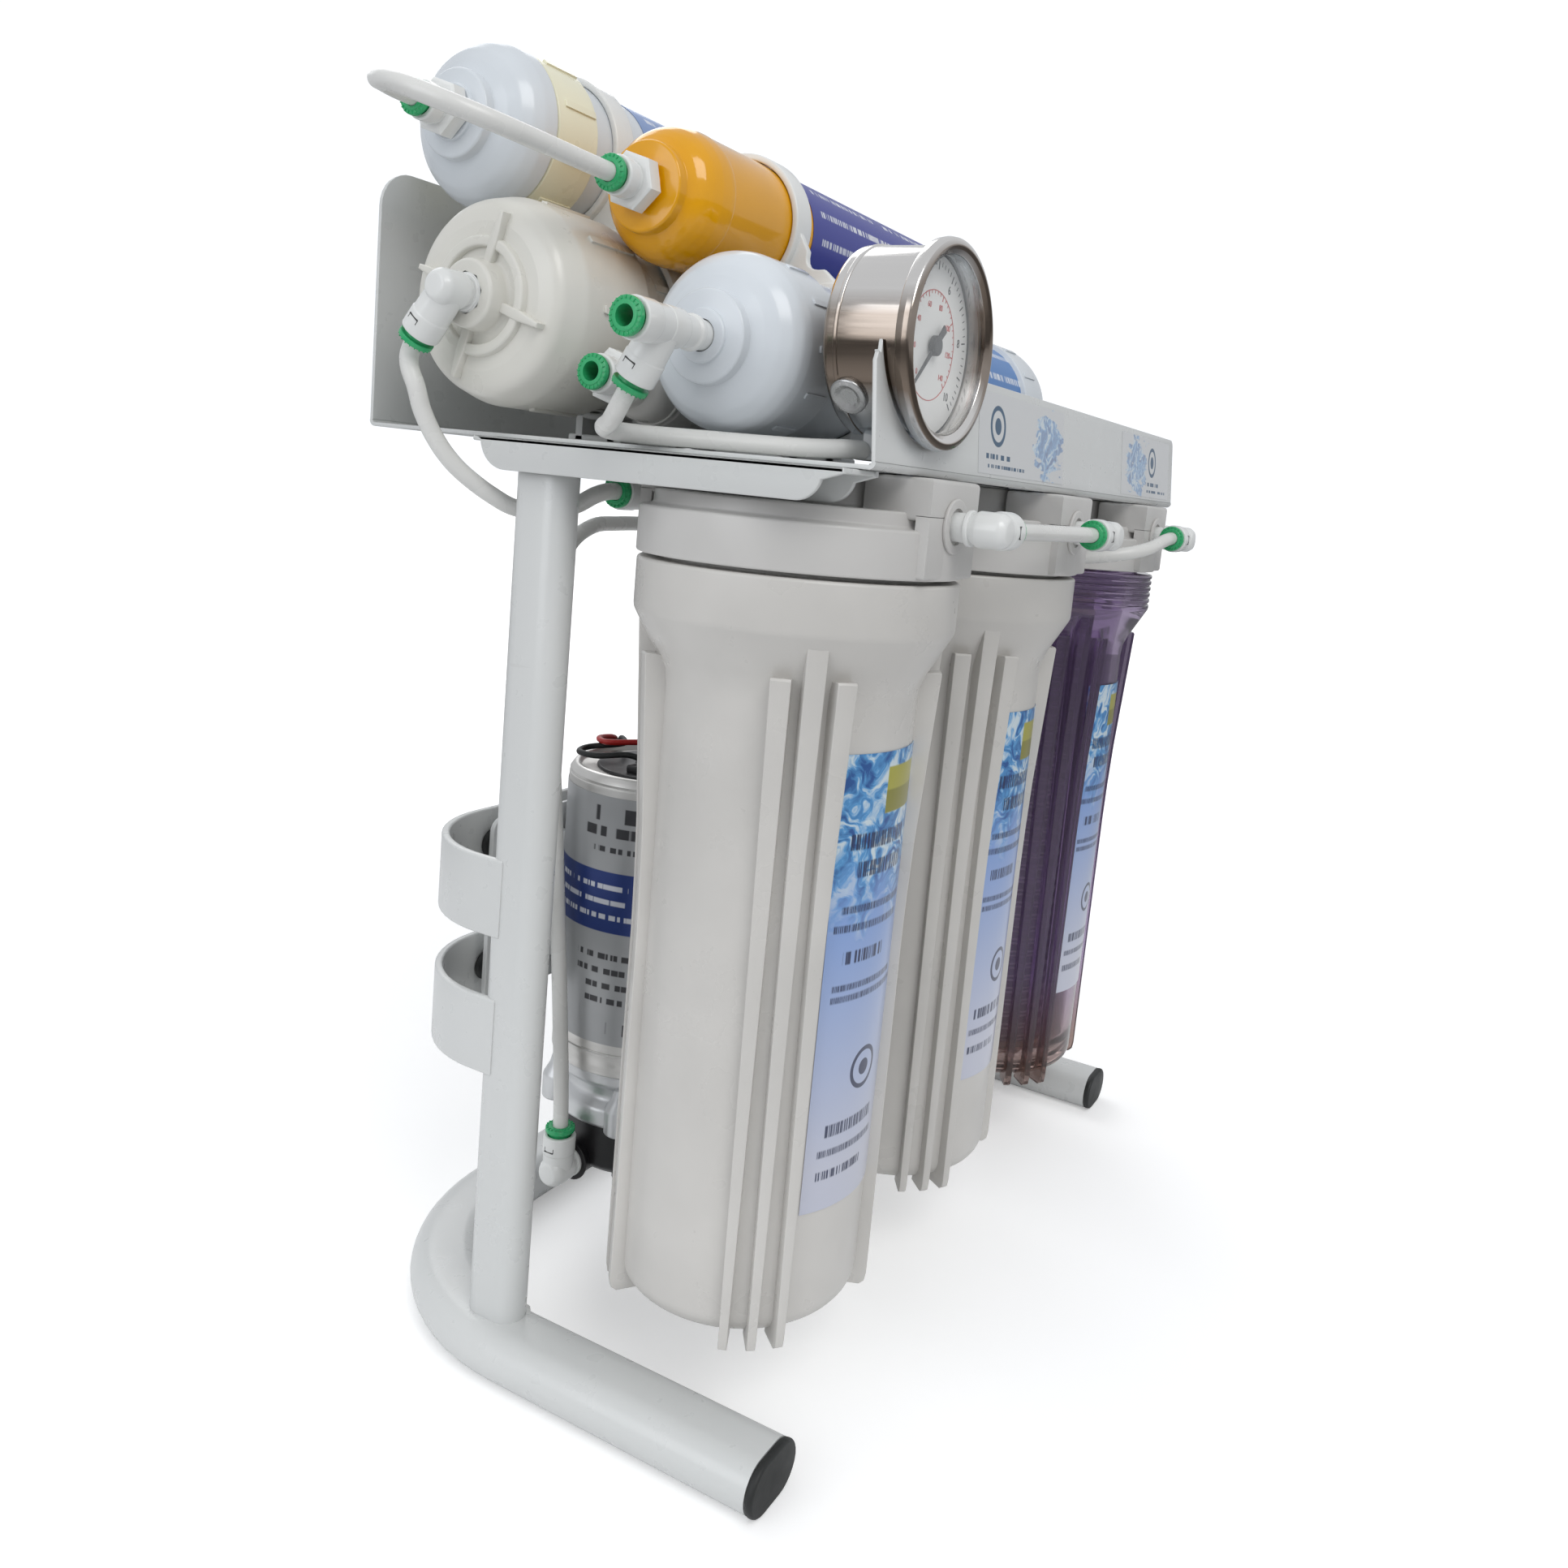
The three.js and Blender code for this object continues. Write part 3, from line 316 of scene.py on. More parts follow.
def numeral(text, size):
    """Dial figures as a thin solid, centred, upright in X and Y."""
    curve = bpy.data.curves.new("numeral", "FONT")
    curve.body = text
    curve.size = size
    curve.extrude = 0.06
    curve.align_x = "CENTER"
    curve.align_y = "CENTER"
    return curve_part(curve)


def smooth_line(points, steps):
    """Catmull-Rom points through the given ones."""
    line = []
    padded = [points[0], *points, points[-1]]
    for a, b, c, d in zip(padded, padded[1:], padded[2:], padded[3:]):
        for k in range(steps):
            t = k / steps
            line.append(
                0.5 * (2 * b + (c - a) * t + (2 * a - 5 * b + 4 * c - d) * t * t
                       + (3 * b - a - 3 * c + d) * t ** 3)
            )
    line.append(points[-1])
    return line


def sweep(section, line, up=None):
    """Carries a closed section along a line of points. Without up, the section doesn't twist."""
    vertices = []
    count = len(section)
    normal = None
    for i, point in enumerate(line):
        ahead = (line[min(i + 1, len(line) - 1)] - line[max(i - 1, 0)]).normalized()
        if up is not None:
            side = up.cross(ahead).normalized()
        else:
            if normal is None:
                normal = ahead.orthogonal()
            side = (normal - ahead * normal.dot(ahead)).normalized()
            normal = side
        other = ahead.cross(side)
        vertices += [point + side * x + other * y for x, y in section]
    faces = []
    for i in range(len(line) - 1):
        for k in range(count):
            a = i * count + k
            b = i * count + (k + 1) % count
            faces.append((a, b, b + count, a + count))
    faces.append(tuple(range(count))[::-1])
    faces.append(tuple(range(len(vertices) - count, len(vertices))))
    return vertices, faces


# ---------- pieces ----------

# The CAD material that a visual material stands for, unless a piece says otherwise.
SLOTS = {
    "white powder coat": "painted_steel",
    "white plastic": "white_plastic",
    "head plastic": "white_plastic",
    "fitting plastic": "white_plastic",
    "shadowed latch": "white_plastic",
    "frosted plastic": "white_plastic",
    "cream plastic": "warm_plastic",
    "membrane housing plastic": "warm_plastic",
    "amber plastic": "amber_plastic",
    "smoky clear plastic": "smoky_plastic",
    "netted cartridge": "filter_media",
    "black rubber": "black_rubber",
    "black plastic": "black_plastic",
    "red wire": "black_plastic",
    "green collet": "green_collet",
    "polyethylene tubing": "tubing",
    "polished stainless": "stainless",
    "screw steel": "stainless",
    "rolled can steel": "motor_steel",
    "cast aluminium": "cast_aluminium",
    "gauge glass": "lens_glass",
    "dial white": "dial_white",
    "dial black": "dial_white",
    "dial red": "dial_white",
}


def finish_mesh(name, mesh, material, body, sharp, merge=False):
    """Turns a mesh into an object that rides on a body."""
    edit = bmesh.new()
    edit.from_mesh(mesh)
    if merge:
        bmesh.ops.remove_doubles(edit, verts=edit.verts, dist=2e-6)
    bmesh.ops.recalc_face_normals(edit, faces=edit.faces)
    edit.to_mesh(mesh)
    edit.free()
    mesh.shade_smooth()
    mesh.set_sharp_from_angle(angle=math.radians(sharp))
    mesh.materials.append(material)
    thing = bpy.data.objects.new(name, mesh)
    bpy.context.scene.collection.objects.link(thing)
    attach(thing, body)
    return thing


def piece(name, shape, material, body="root", replaces=(), slot=None, sharp=38):
    mesh = bpy.data.meshes.new(name)
    mesh.from_pydata([vertex * MM for vertex in shape.vertices], [], shape.faces)
    thing = finish_mesh(name, mesh, material, body, sharp, merge=True)
    if replaces:
        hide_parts(*replaces)
    slot or SLOTS[material.name]


def label(name, place, u_span, v_span, material, body="root", columns=40, rows=4):
    """A thin closed sheet laid on a surface. place(u, v, lift) gives its points."""
    vertices = []
    for lift in (0.18, 0):
        for j in range(rows + 1):
            for i in range(columns + 1):
                u = u_span[0] + (u_span[1] - u_span[0]) * i / columns
                v = v_span[0] + (v_span[1] - v_span[0]) * j / rows
                vertices.append(place(u, v, lift) * MM)
    layer = (columns + 1) * (rows + 1)
    faces = []
    for j in range(rows):
        for i in range(columns):
            a = j * (columns + 1) + i
            quad = (a, a + 1, a + columns + 2, a + columns + 1)
            faces.append(quad)
            faces.append(tuple(layer + k for k in quad[::-1]))
    edge = [j * (columns + 1) for j in range(rows + 1)]
    edge += [rows * (columns + 1) + i for i in range(1, columns + 1)]
    edge += [j * (columns + 1) + columns for j in range(rows - 1, -1, -1)]
    edge += range(columns - 1, 0, -1)
    for a, b in zip(edge, edge[1:] + edge[:1]):
        faces.append((a, b, layer + b, layer + a))
    mesh = bpy.data.meshes.new(name)
    mesh.from_pydata(vertices, [], faces)
    uv = mesh.uv_layers.new(name="UVMap")
    for loop in mesh.loops:
        k = loop.vertex_index % layer
        uv.data[loop.index].uv = ((k % (columns + 1)) / columns, (k // (columns + 1)) / rows)
    finish_mesh(name, mesh, material, body, 40)


# ---------- materials ----------

class Nodes:
    """A short way to build a node tree around a Principled shader."""

    def __init__(self, name):
        self.material = bpy.data.materials.new(name)
        self.material.use_nodes = True
        self.tree = self.material.node_tree
        self.shader = self.tree.nodes["Principled BSDF"]
        self.place = self.tree.nodes.new("ShaderNodeTexCoord").outputs["Object"]

    def node(self, kind, inputs=None, **settings):
        made = self.tree.nodes.new(kind)
        for key, value in settings.items():
            setattr(made, key, value)
        for key, value in (inputs or {}).items():
            if isinstance(value, bpy.types.NodeSocket):
                self.tree.links.new(value, made.inputs[key])
            else:
                made.inputs[key].default_value = value
        return made

    def noise(self, scale, detail=3, stretch=None, vector=None):
        vector = vector or self.place
        if stretch:
            scaled = self.node("ShaderNodeVectorMath", {0: vector, 1: stretch}, operation="MULTIPLY")
            vector = scaled.outputs[0]
        inputs = {"Vector": vector, "Scale": scale, "Detail": detail}
        return self.node("ShaderNodeTexNoise", inputs).outputs["Fac"]

    def math(self, operation, a, b=0.0):
        return self.node("ShaderNodeMath", {0: a, 1: b}, operation=operation).outputs[0]

    def uv(self):
        """The label's coordinates: together, and as u and v."""
        both = self.node("ShaderNodeTexCoord").outputs["UV"]
        split = self.node("ShaderNodeSeparateXYZ", {0: both})
        return both, split.outputs[0], split.outputs[1]

    def remap(self, value, low, high, to_low=0.0, to_high=1.0):
        inputs = {0: value, 1: low, 2: high, 3: to_low, 4: to_high}
        return self.node("ShaderNodeMapRange", inputs).outputs[0]

    def mix(self, factor, a, b):
        made = self.node("ShaderNodeMix", data_type="RGBA")
        for key, value in ((0, factor), (6, a), (7, b)):
            if isinstance(value, bpy.types.NodeSocket):
                self.tree.links.new(value, made.inputs[key])
            else:
                made.inputs[key].default_value = value if key == 0 else (*value[:3], 1)
        return made.outputs[2]

    def bump(self, height, strength, distance):
        inputs = {"Height": height, "Strength": strength, "Distance": distance}
        return self.node("ShaderNodeBump", inputs).outputs["Normal"]

    def shade(self, **values):
        for key, value in values.items():
            socket = self.shader.inputs[key.replace("_", " ").title().replace("Ior", "IOR")]
            if isinstance(value, bpy.types.NodeSocket):
                self.tree.links.new(value, socket)
            elif socket.type == "RGBA":
                socket.default_value = (*value[:3], 1)
            else:
                socket.default_value = value
        return self.material


def moulded(name, colour, roughness=0.35, variation=0.03, grain=0.12, grain_scale=1400, **more):
    """Moulded plastic, rubber or paint: cloudy colour, fine grain and slightly uneven gloss."""
    n = Nodes(name)
    cloud = n.noise(18)
    darker = [max(0, c * (1 - variation * 2)) for c in colour]
    lighter = [min(1, c * (1 + variation)) for c in colour]
    tint = n.mix(n.remap(cloud, 0.35, 0.65), darker, lighter)
    rough = n.remap(n.noise(60, 4), 0.3, 0.7, roughness * 0.85, min(1, roughness * 1.2))
    peel = n.bump(n.noise(grain_scale, 2), grain, 0.0001)
    return n.shade(base_color=tint, roughness=rough, normal=peel, **more)


def painted_steel():
    """White powder coat with faint orange peel and a few faint scratches."""
    n = Nodes("white powder coat")
    cloud = n.noise(9)
    tint = n.mix(n.remap(cloud, 0.3, 0.7), (0.615, 0.63, 0.625), (0.64, 0.65, 0.645))
    scratch = n.noise(260, 2, stretch=(1, 0.08, 1))
    chips = n.math("MULTIPLY", n.remap(scratch, 0.735, 0.76), n.remap(n.noise(22), 0.6, 0.66))
    tint = n.mix(n.math("MULTIPLY", chips, 0.12), tint, (0.42, 0.41, 0.39))
    rough = n.remap(n.noise(120, 3), 0.3, 0.7, 0.26, 0.34)
    peel = n.bump(n.noise(420, 1), 0.04, 0.0002)
    return n.shade(base_color=tint, roughness=rough, normal=peel, coat_weight=0.25, coat_roughness=0.2)


def brushed(name, colour, axis_stretch, roughness=0.24):
    """Brushed or rolled metal, with fine lines across the stretch."""
    n = Nodes(name)
    lines = n.noise(900, 3, stretch=axis_stretch)
    tint = n.mix(n.remap(n.noise(14), 0.3, 0.7), [c * 0.86 for c in colour], colour)
    rough = n.remap(lines, 0.3, 0.7, roughness * 0.75, roughness * 1.3)
    return n.shade(base_color=tint, metallic=1.0, roughness=rough, normal=n.bump(lines, 0.12, 0.00005))


def polished_steel():
    """Turned stainless, with the bands that a bright room draws along a drum painted into its colour: a
    painted reflection, pale on faces turned down or up and dark on faces turned sideways.
    """
    n = Nodes("polished stainless")
    normal = n.node("ShaderNodeNewGeometry").outputs["Normal"]
    up = n.node("ShaderNodeSeparateXYZ", {0: normal}).outputs[2]
    # Painted reflection: the base colour goes by the way each face points, standing in for the room mirrored
    # in the steel.
    shade = n.mix(n.remap(up, -0.95, -0.5), (0.72, 0.76, 0.8), (0.2, 0.16, 0.13))
    shade = n.mix(n.remap(up, -0.12, 0.06), shade, (0.34, 0.29, 0.25))
    shade = n.mix(n.remap(up, 0.16, 0.42), shade, (0.82, 0.8, 0.78))
    lines = n.noise(900, 3, stretch=(1, 0.02, 1))
    rough = n.remap(lines, 0.3, 0.7, 0.1, 0.22)
    return n.shade(base_color=shade, metallic=1.0, roughness=rough, normal=n.bump(lines, 0.08, 0.00004))


def sheet_glass():
    """A flat window: almost clear, with the reflections on its face painted as a pale film that turns more
    opaque towards glancing angles.
    """
    n = Nodes("gauge glass")
    # Painted reflection: the pale film thickens at glancing angles, where real glass reflects more.
    painted_glare_mask = n.node("ShaderNodeLayerWeight", {"Blend": 0.1}).outputs["Fresnel"]
    smear = n.remap(n.noise(40, 3), 0.3, 0.7, 0.02, 0.06)
    return n.shade(base_color=(0.9, 0.93, 0.95), roughness=smear, alpha=n.remap(painted_glare_mask, 0, 1, 0.02, 0.2))


def clear_plastic(name, colour, tip_colour):
    """Tinted clear plastic that turns browner near the floor."""
    n = Nodes(name)
    height = n.node("ShaderNodeSeparateXYZ", {0: n.place}).outputs[2]
    tint = n.mix(n.remap(height, 0.05, 0.1), tip_colour, colour)
    wave = n.bump(n.noise(30, 2), 0.15, 0.0006)
    rough = n.remap(n.noise(80, 3), 0.3, 0.7, 0.042, 0.096)
    return n.shade(base_color=tint, roughness=rough, normal=wave, ior=1.42, transmission_weight=0.92)


def felt_netting():
    """Spun cartridge in a diagonal net."""
    n = Nodes("netted cartridge")
    split = n.node("ShaderNodeSeparateXYZ", {0: n.place})
    angle = n.math("ARCTAN2", split.outputs[1], split.outputs[0])
    turns = n.math("MULTIPLY", angle, 9.0)
    rise = n.math("MULTIPLY", split.outputs[2], 900.0)
    first = n.math("SINE", n.math("ADD", turns, rise))
    second = n.math("SINE", n.math("SUBTRACT", turns, rise))
    net = n.math("MAXIMUM", n.remap(first, 0.82, 0.98), n.remap(second, 0.82, 0.98))
    tint = n.mix(net, (0.5, 0.47, 0.52), (0.86, 0.85, 0.88))
    tint = n.mix(n.remap(n.noise(700, 4), 0.35, 0.7, 0, 0.3), tint, (0.4, 0.37, 0.42))
    return n.shade(base_color=tint, roughness=0.8, normal=n.bump(net, 0.6, 0.0008))


def band(n, value, low, high, soft=0.004):
    """1 where value lies between low and high."""
    rise = n.remap(value, low - soft, low)
    fall = n.remap(value, high, high + soft, 1.0, 0.0)
    return n.math("MULTIPLY", rise, fall)


def far_from(n, u, v, spot, wide, tall):
    """Distance from a spot on a label, with u and v scaled to the label's shape."""
    across = n.math("MULTIPLY", n.math("SUBTRACT", u, spot[0]), wide)
    along = n.math("MULTIPLY", n.math("SUBTRACT", v, spot[1]), tall)
    square = n.math("ADD", n.math("MULTIPLY", across, across), n.math("MULTIPLY", along, along))
    return n.math("SQRT", square)


def print_lines(n, u, v, lines, seed):
    """Rows of irregular dark dashes that stand for small print. Each line is (v, height, left, right)."""
    total = None
    for k, (middle, height, left, right) in enumerate(lines):
        row = n.node("ShaderNodeCombineXYZ", {0: u, 1: seed + 3.7 * k, 2: 0.0}).outputs[0]
        letters = n.noise(0.9 / height, 1, vector=row)
        row_mask = band(n, v, middle - height, middle + height)
        mask = n.math("MULTIPLY", n.remap(letters, 0.46, 0.5), row_mask)
        mask = n.math("MULTIPLY", mask, band(n, u, left, right))
        total = mask if total is None else n.math("MAXIMUM", total, mask)
    return total


def splash(n, u, v, seed):
    """Blue and white water-like streaks."""
    place = n.node("ShaderNodeCombineXYZ", {0: u, 1: v, 2: seed}).outputs[0]
    warp = n.noise(3.2, 2, vector=place)
    bent = n.node("ShaderNodeCombineXYZ", {0: n.math("ADD", u, warp), 1: n.math("ADD", v, warp), 2: seed})
    streak = n.noise(7.5, 5, vector=bent.outputs[0])
    blue = n.mix(n.remap(streak, 0.36, 0.52), (0.02, 0.09, 0.3), (0.1, 0.34, 0.66))
    return n.mix(n.remap(streak, 0.5, 0.62), blue, (0.6, 0.7, 0.76))


def sump_label(tag_colour, seed):
    """A splash at the top, fading to pale lilac, with a coloured tag and rows of small print."""
    n = Nodes("sump label " + str(seed))
    uv, u, v = n.uv()
    fade = n.mix(n.remap(v, 0.1, 0.7), (0.53, 0.55, 0.65), (0.2, 0.34, 0.68))
    art = splash(n, u, n.math("MULTIPLY", v, 3.2), seed)
    edge = n.math("ADD", v, n.remap(n.noise(5, 3, vector=uv), 0.3, 0.7, -0.05, 0.05))
    tint = n.mix(n.remap(edge, 0.62, 0.76), fade, art)
    tag = n.math("MULTIPLY", band(n, u, 0.42, 0.9), band(n, v, 0.87, 0.965))
    tint = n.mix(tag, tint, tag_colour)
    lower = n.math("MULTIPLY", band(n, u, 0.42, 0.9), band(n, v, 0.87, 0.915))
    tint = n.mix(lower, tint, [c * 0.62 for c in tag_colour])
    heading = [(0.815, 0.015, 0.12, 0.75), (0.755, 0.015, 0.2, 0.75)]
    small = [(0.67, 0.006, 0.1, 0.85), (0.63, 0.006, 0.05, 0.8), (0.565, 0.012, 0.15, 0.6)]
    small += [(0.5, 0.005, 0.08, 0.8), (0.475, 0.005, 0.08, 0.88), (0.18, 0.012, 0.15, 0.7)]
    small += [(0.13, 0.006, 0.1, 0.75), (0.08, 0.008, 0.1, 0.6)]
    ink = print_lines(n, u, v, heading + small, seed)
    far = far_from(n, u, v, (0.5, 0.3), 1.0, 3.4)
    ink = n.math("MAXIMUM", ink, band(n, far, 0.13, 0.16))
    ink = n.math("MAXIMUM", ink, band(n, far, 0.0, 0.06))
    tint = n.mix(n.math("MULTIPLY", ink, 0.95), tint, (0.012, 0.02, 0.07))
    return n.shade(base_color=tint, roughness=0.3, coat_weight=0.4, coat_roughness=0.12)


def plain_label(name, ground, stripes, lines, seed, metallic=0.0, ink=(0.05, 0.05, 0.055)):
    """A label with coloured stripes across v and rows of small print."""
    n = Nodes(name)
    uv, u, v = n.uv()
    tint = n.mix(n.noise(12, 2, vector=uv), [c * 0.9 for c in ground], ground)
    for low, high, colour in stripes:
        tint = n.mix(band(n, v, low, high), tint, colour)
    tint = n.mix(print_lines(n, u, v, lines, seed), tint, ink)
    for low, high, _ in stripes:
        rows = [(low + (high - low) * k / 4, 0.008, 0.05, 0.95) for k in (1, 2, 3)]
        tint = n.mix(n.math("MULTIPLY", print_lines(n, u, v, rows, seed + 9), 0.8), tint, (0.8, 0.82, 0.86))
    return n.shade(base_color=tint, roughness=0.34, metallic=metallic)


def picture_label(name, seed, splash_at, mark_at):
    """A sticker with a splash of water, a plain ring with a dot and rows of small print."""
    n = Nodes(name)
    uv, u, v = n.uv()
    art = splash(n, n.math("MULTIPLY", u, 3.0), v, seed)
    ragged = n.remap(n.noise(6, 4, vector=uv), 0.3, 0.7, -0.3, 0.3)
    rim = n.math("ADD", far_from(n, u, v, (splash_at, 0.5), 2.6, 1.0), ragged)
    pale = (0.62, 0.63, 0.64)
    art = n.mix(0.35, art, pale)
    tint = n.mix(n.remap(rim, 0.42, 0.5), art, pale)
    mark = far_from(n, u, v, (mark_at, 0.6), 3.1, 1.0)
    ring = n.math("MAXIMUM", band(n, mark, 0.2, 0.25, 0.01), band(n, mark, 0.0, 0.1, 0.01))
    lines = [(0.22, 0.03, mark_at - 0.12, mark_at + 0.16), (0.1, 0.02, mark_at - 0.1, mark_at + 0.3)]
    ink = n.math("MAXIMUM", ring, print_lines(n, u, v, lines, seed))
    tint = n.mix(ink, tint, (0.02, 0.08, 0.16))
    return n.shade(base_color=tint, roughness=0.3)


WHITE_COAT = painted_steel()
WHITE_PLASTIC = moulded("white plastic", (0.6, 0.585, 0.56), 0.3)
HEAD_PLASTIC = moulded("head plastic", (0.585, 0.575, 0.56), 0.34)
FITTING_PLASTIC = moulded("fitting plastic", (0.76, 0.77, 0.76), 0.22)
CREAM_PLASTIC = moulded("cream plastic", (0.82, 0.8, 0.62), 0.28)
MEMBRANE_PLASTIC = moulded("membrane housing plastic", (0.7, 0.69, 0.64), 0.3)
FROSTED_PLASTIC = moulded("frosted plastic", (0.66, 0.7, 0.74), 0.2)
AMBER_PLASTIC = moulded("amber plastic", (0.8, 0.37, 0.0), 0.14, 0.05, grain=0.03,
                        coat_weight=0.25, coat_roughness=0.05)
BLACK_RUBBER = moulded("black rubber", (0.016, 0.018, 0.018), 0.55, 0.2, grain=0.3, grain_scale=900)
BLACK_PLASTIC = moulded("black plastic", (0.014, 0.013, 0.015), 0.4, 0.2)
GREEN_COLLET = moulded("green collet", (0.03, 0.4, 0.15), 0.26, 0.06)
TUBE_PLASTIC = moulded("polyethylene tubing", (0.72, 0.72, 0.7), 0.26)
SMOKY = clear_plastic("smoky clear plastic", (0.5, 0.4, 0.58), (0.42, 0.3, 0.27))
LENS = sheet_glass()
NETTING = felt_netting()
CARBON = moulded("carbon block", (0.02, 0.02, 0.022), 0.8, 0.3, grain=0.6, grain_scale=600)
WRAP = moulded("membrane wrap", (0.5, 0.56, 0.62), 0.4)
STAINLESS = polished_steel()
CAN_STEEL = brushed("rolled can steel", (0.7, 0.69, 0.67), (0.05, 0.05, 1), 0.42)
CAST_METAL = moulded("cast aluminium", (0.68, 0.69, 0.7), 0.42, 0.06, grain=0.5, grain_scale=500,
                     metallic=0.95)
SCREW_STEEL = brushed("screw steel", (0.5, 0.5, 0.5), (1, 1, 0.05), 0.3)
DIAL_WHITE = moulded("dial white", (0.8, 0.8, 0.78), 0.4)
DIAL_BLACK = moulded("dial black", (0.02, 0.02, 0.02), 0.4)
DIAL_RED = moulded("dial red", (0.5, 0.03, 0.02), 0.4)
RED_WIRE = moulded("red wire", (0.42, 0.012, 0.01), 0.4)
# Near-black for the latch slot: painted shade where the fitting has only a shadowed gap.
PAINTED_SLOT_SHADE = moulded("shadowed latch", (0.05, 0.05, 0.05), 0.6)


# ---------- stand ----------

def stand():
    low, high = box("stand_frame")
    cap_low, cap_high = box("foot_cap_left")
    leg_x = -centre("foot_cap_left").x
    leg_width = cap_high.x - cap_low.x
    leg_height = cap_high.z
    bend = 80
    front = low.y + 0.2
    rail_y = high.y - leg_width / 2
    z = leg_height / 2
    line = [Vector((-leg_x, front, z))]
    for x, start, end in ((-leg_x + bend, 180, 90), (leg_x - bend, 90, 0)):
        line += [Vector((px, py, z)) for px, py in arc(x, rail_y - bend, bend, start, end, 18)]
    line.append(Vector((leg_x, front, z)))
    shape = Shape().add(sweep(oval_outline(leg_width, leg_height), line, up=UP))
    piece("base_tube", shape, WHITE_COAT, replaces=("stand_frame",))

    tray_floor = box("tray")[0].z
    top = tray_floor - CHANNEL_SHEET
    for side, word in ((-1, "left"), (1, "right")):
        x = side * POST_X
        post = plate(oval_outline(15, 24), top - POST_FOOT, bevel=0.05)
        where = move(x, POST_Y, (top + POST_FOOT) / 2)
        piece("post_" + word, Shape().add(post, where), WHITE_COAT)
        channel(x, word, tray_floor)
        weld("post_foot_weld_" + word, oval_outline(16.5, 25.5), (x, POST_Y, leg_height - 1.2), 1.7)
        weld("post_top_weld_" + word, oval_outline(16, 25), (x, POST_Y, top - 1.2), 1.2)
    for k, height in enumerate(CROSS_BAR_Z):
        cross_bar("cross_bar_" + str(k + 1), height)


def bead(reach, shoulder, shoulder_height, height):
    return lathe([(0, -height, 0), (shoulder, -shoulder_height, 0.4), (reach, 0, 0.6),
                  (shoulder, shoulder_height, 0.4), (0, height, 0)], 10)


def weld(name, outline, where, size):
    """An uneven bead laid around an outline."""
    line = [Vector((x, y, 0)) for x, y in outline + outline[:1]]
    shape = Shape()
    for k, (a, b) in enumerate(zip(line, line[1:]), 1):
        swell = 1 + 0.22 * math.sin(k * 2.4) + 0.12 * math.sin(k * 5.1)
        part = bead(size * swell, size * 0.7, size * 0.5, size * 0.8)
        shape.add(part, Matrix.Translation(Vector(where) + (a + b) / 2))
    piece(name, shape, WHITE_COAT)


def channel(x, word, top):
    """Folded channel under the tray: a web on top and two flanges with rounded ends."""
    front, rear = HOUSING_Y - 48, HOUSING_Y + 103
    depth, half = 11.5, 12
    side = [(front, top - 0.2), (front, top - CHANNEL_SHEET)]
    side += arc(front + 17, top - 2, depth - 2, 195, 270, 8)
    side += arc(rear - 15, top, depth, 270, 352, 10)
    side += [(rear, top - 0.2)]
    shape = Shape()
    for edge in (x - half + CHANNEL_SHEET / 2, x + half - CHANNEL_SHEET / 2):
        shape.add(plate(side, CHANNEL_SHEET, bevel=0.5), move(edge, 0, 0) @ along_x(0, 0))
    shape.block((x - half, front + 0.5, top - CHANNEL_SHEET), (x + half, rear - 0.5, top - 0.2))
    piece("channel_" + word, shape, WHITE_COAT)


def cross_bar(name, height):
    """Flat bar across the back, curled forward to the posts, and welded to them."""
    sheet, curl, width = 3, 46, 30
    tail_x, tail_y = 190, HOUSING_Y + 81
    cx, cy = tail_x - curl, CROSS_BAR_REAR - curl
    outline = [(tail_x, tail_y)] + arc(cx, cy, curl, 0, 90, 14) + arc(-cx, cy, curl, 90, 180, 14)
    outline += [(-tail_x, tail_y), (-tail_x + sheet, tail_y)]
    outline += arc(-cx, cy, curl - sheet, 180, 90, 14) + arc(cx, cy, curl - sheet, 90, 0, 14)
    outline += [(tail_x - sheet, tail_y)]
    piece(name, Shape().add(plate(outline, width, bevel=0.9), move(0, 0, height)), WHITE_COAT)
    for side, word in ((-1, "left"), (1, "right")):
        shape = Shape()
        for k in range(20):
            swell = 1.5 + 0.35 * math.sin(k * 2.1) + 0.2 * math.sin(k * 4.7)
            where = move(side * 187.2, HOUSING_Y + 82.6, height - width / 2 + 1.6 * k)
            shape.add(bead(swell, swell * 0.7, 0.8, 1.3), where)
        piece(name + "_weld_" + word, shape, WHITE_COAT)


def foot_caps():
    """Rubber plugs with a rounded flange."""
    for word in ("left", "right"):
        node = "foot_cap_" + word
        low, high = box(node)
        middle = (low + high) / 2
        flange = plate(oval_outline(high.x - low.x + 0.6, high.z - low.z), 3.4, bevel=1.2)
        plug = plate(oval_outline(26.2, 16.2), 13, bevel=0.8)
        shape = Shape().add(flange, move(middle.x, low.y + 1.7, middle.z) @ FACING_FRONT)
        shape.add(plug, move(middle.x, low.y + 9, middle.z) @ FACING_FRONT)
        piece(node + "_rubber", shape, BLACK_RUBBER, replaces=(node,))


# ---------- tray ----------

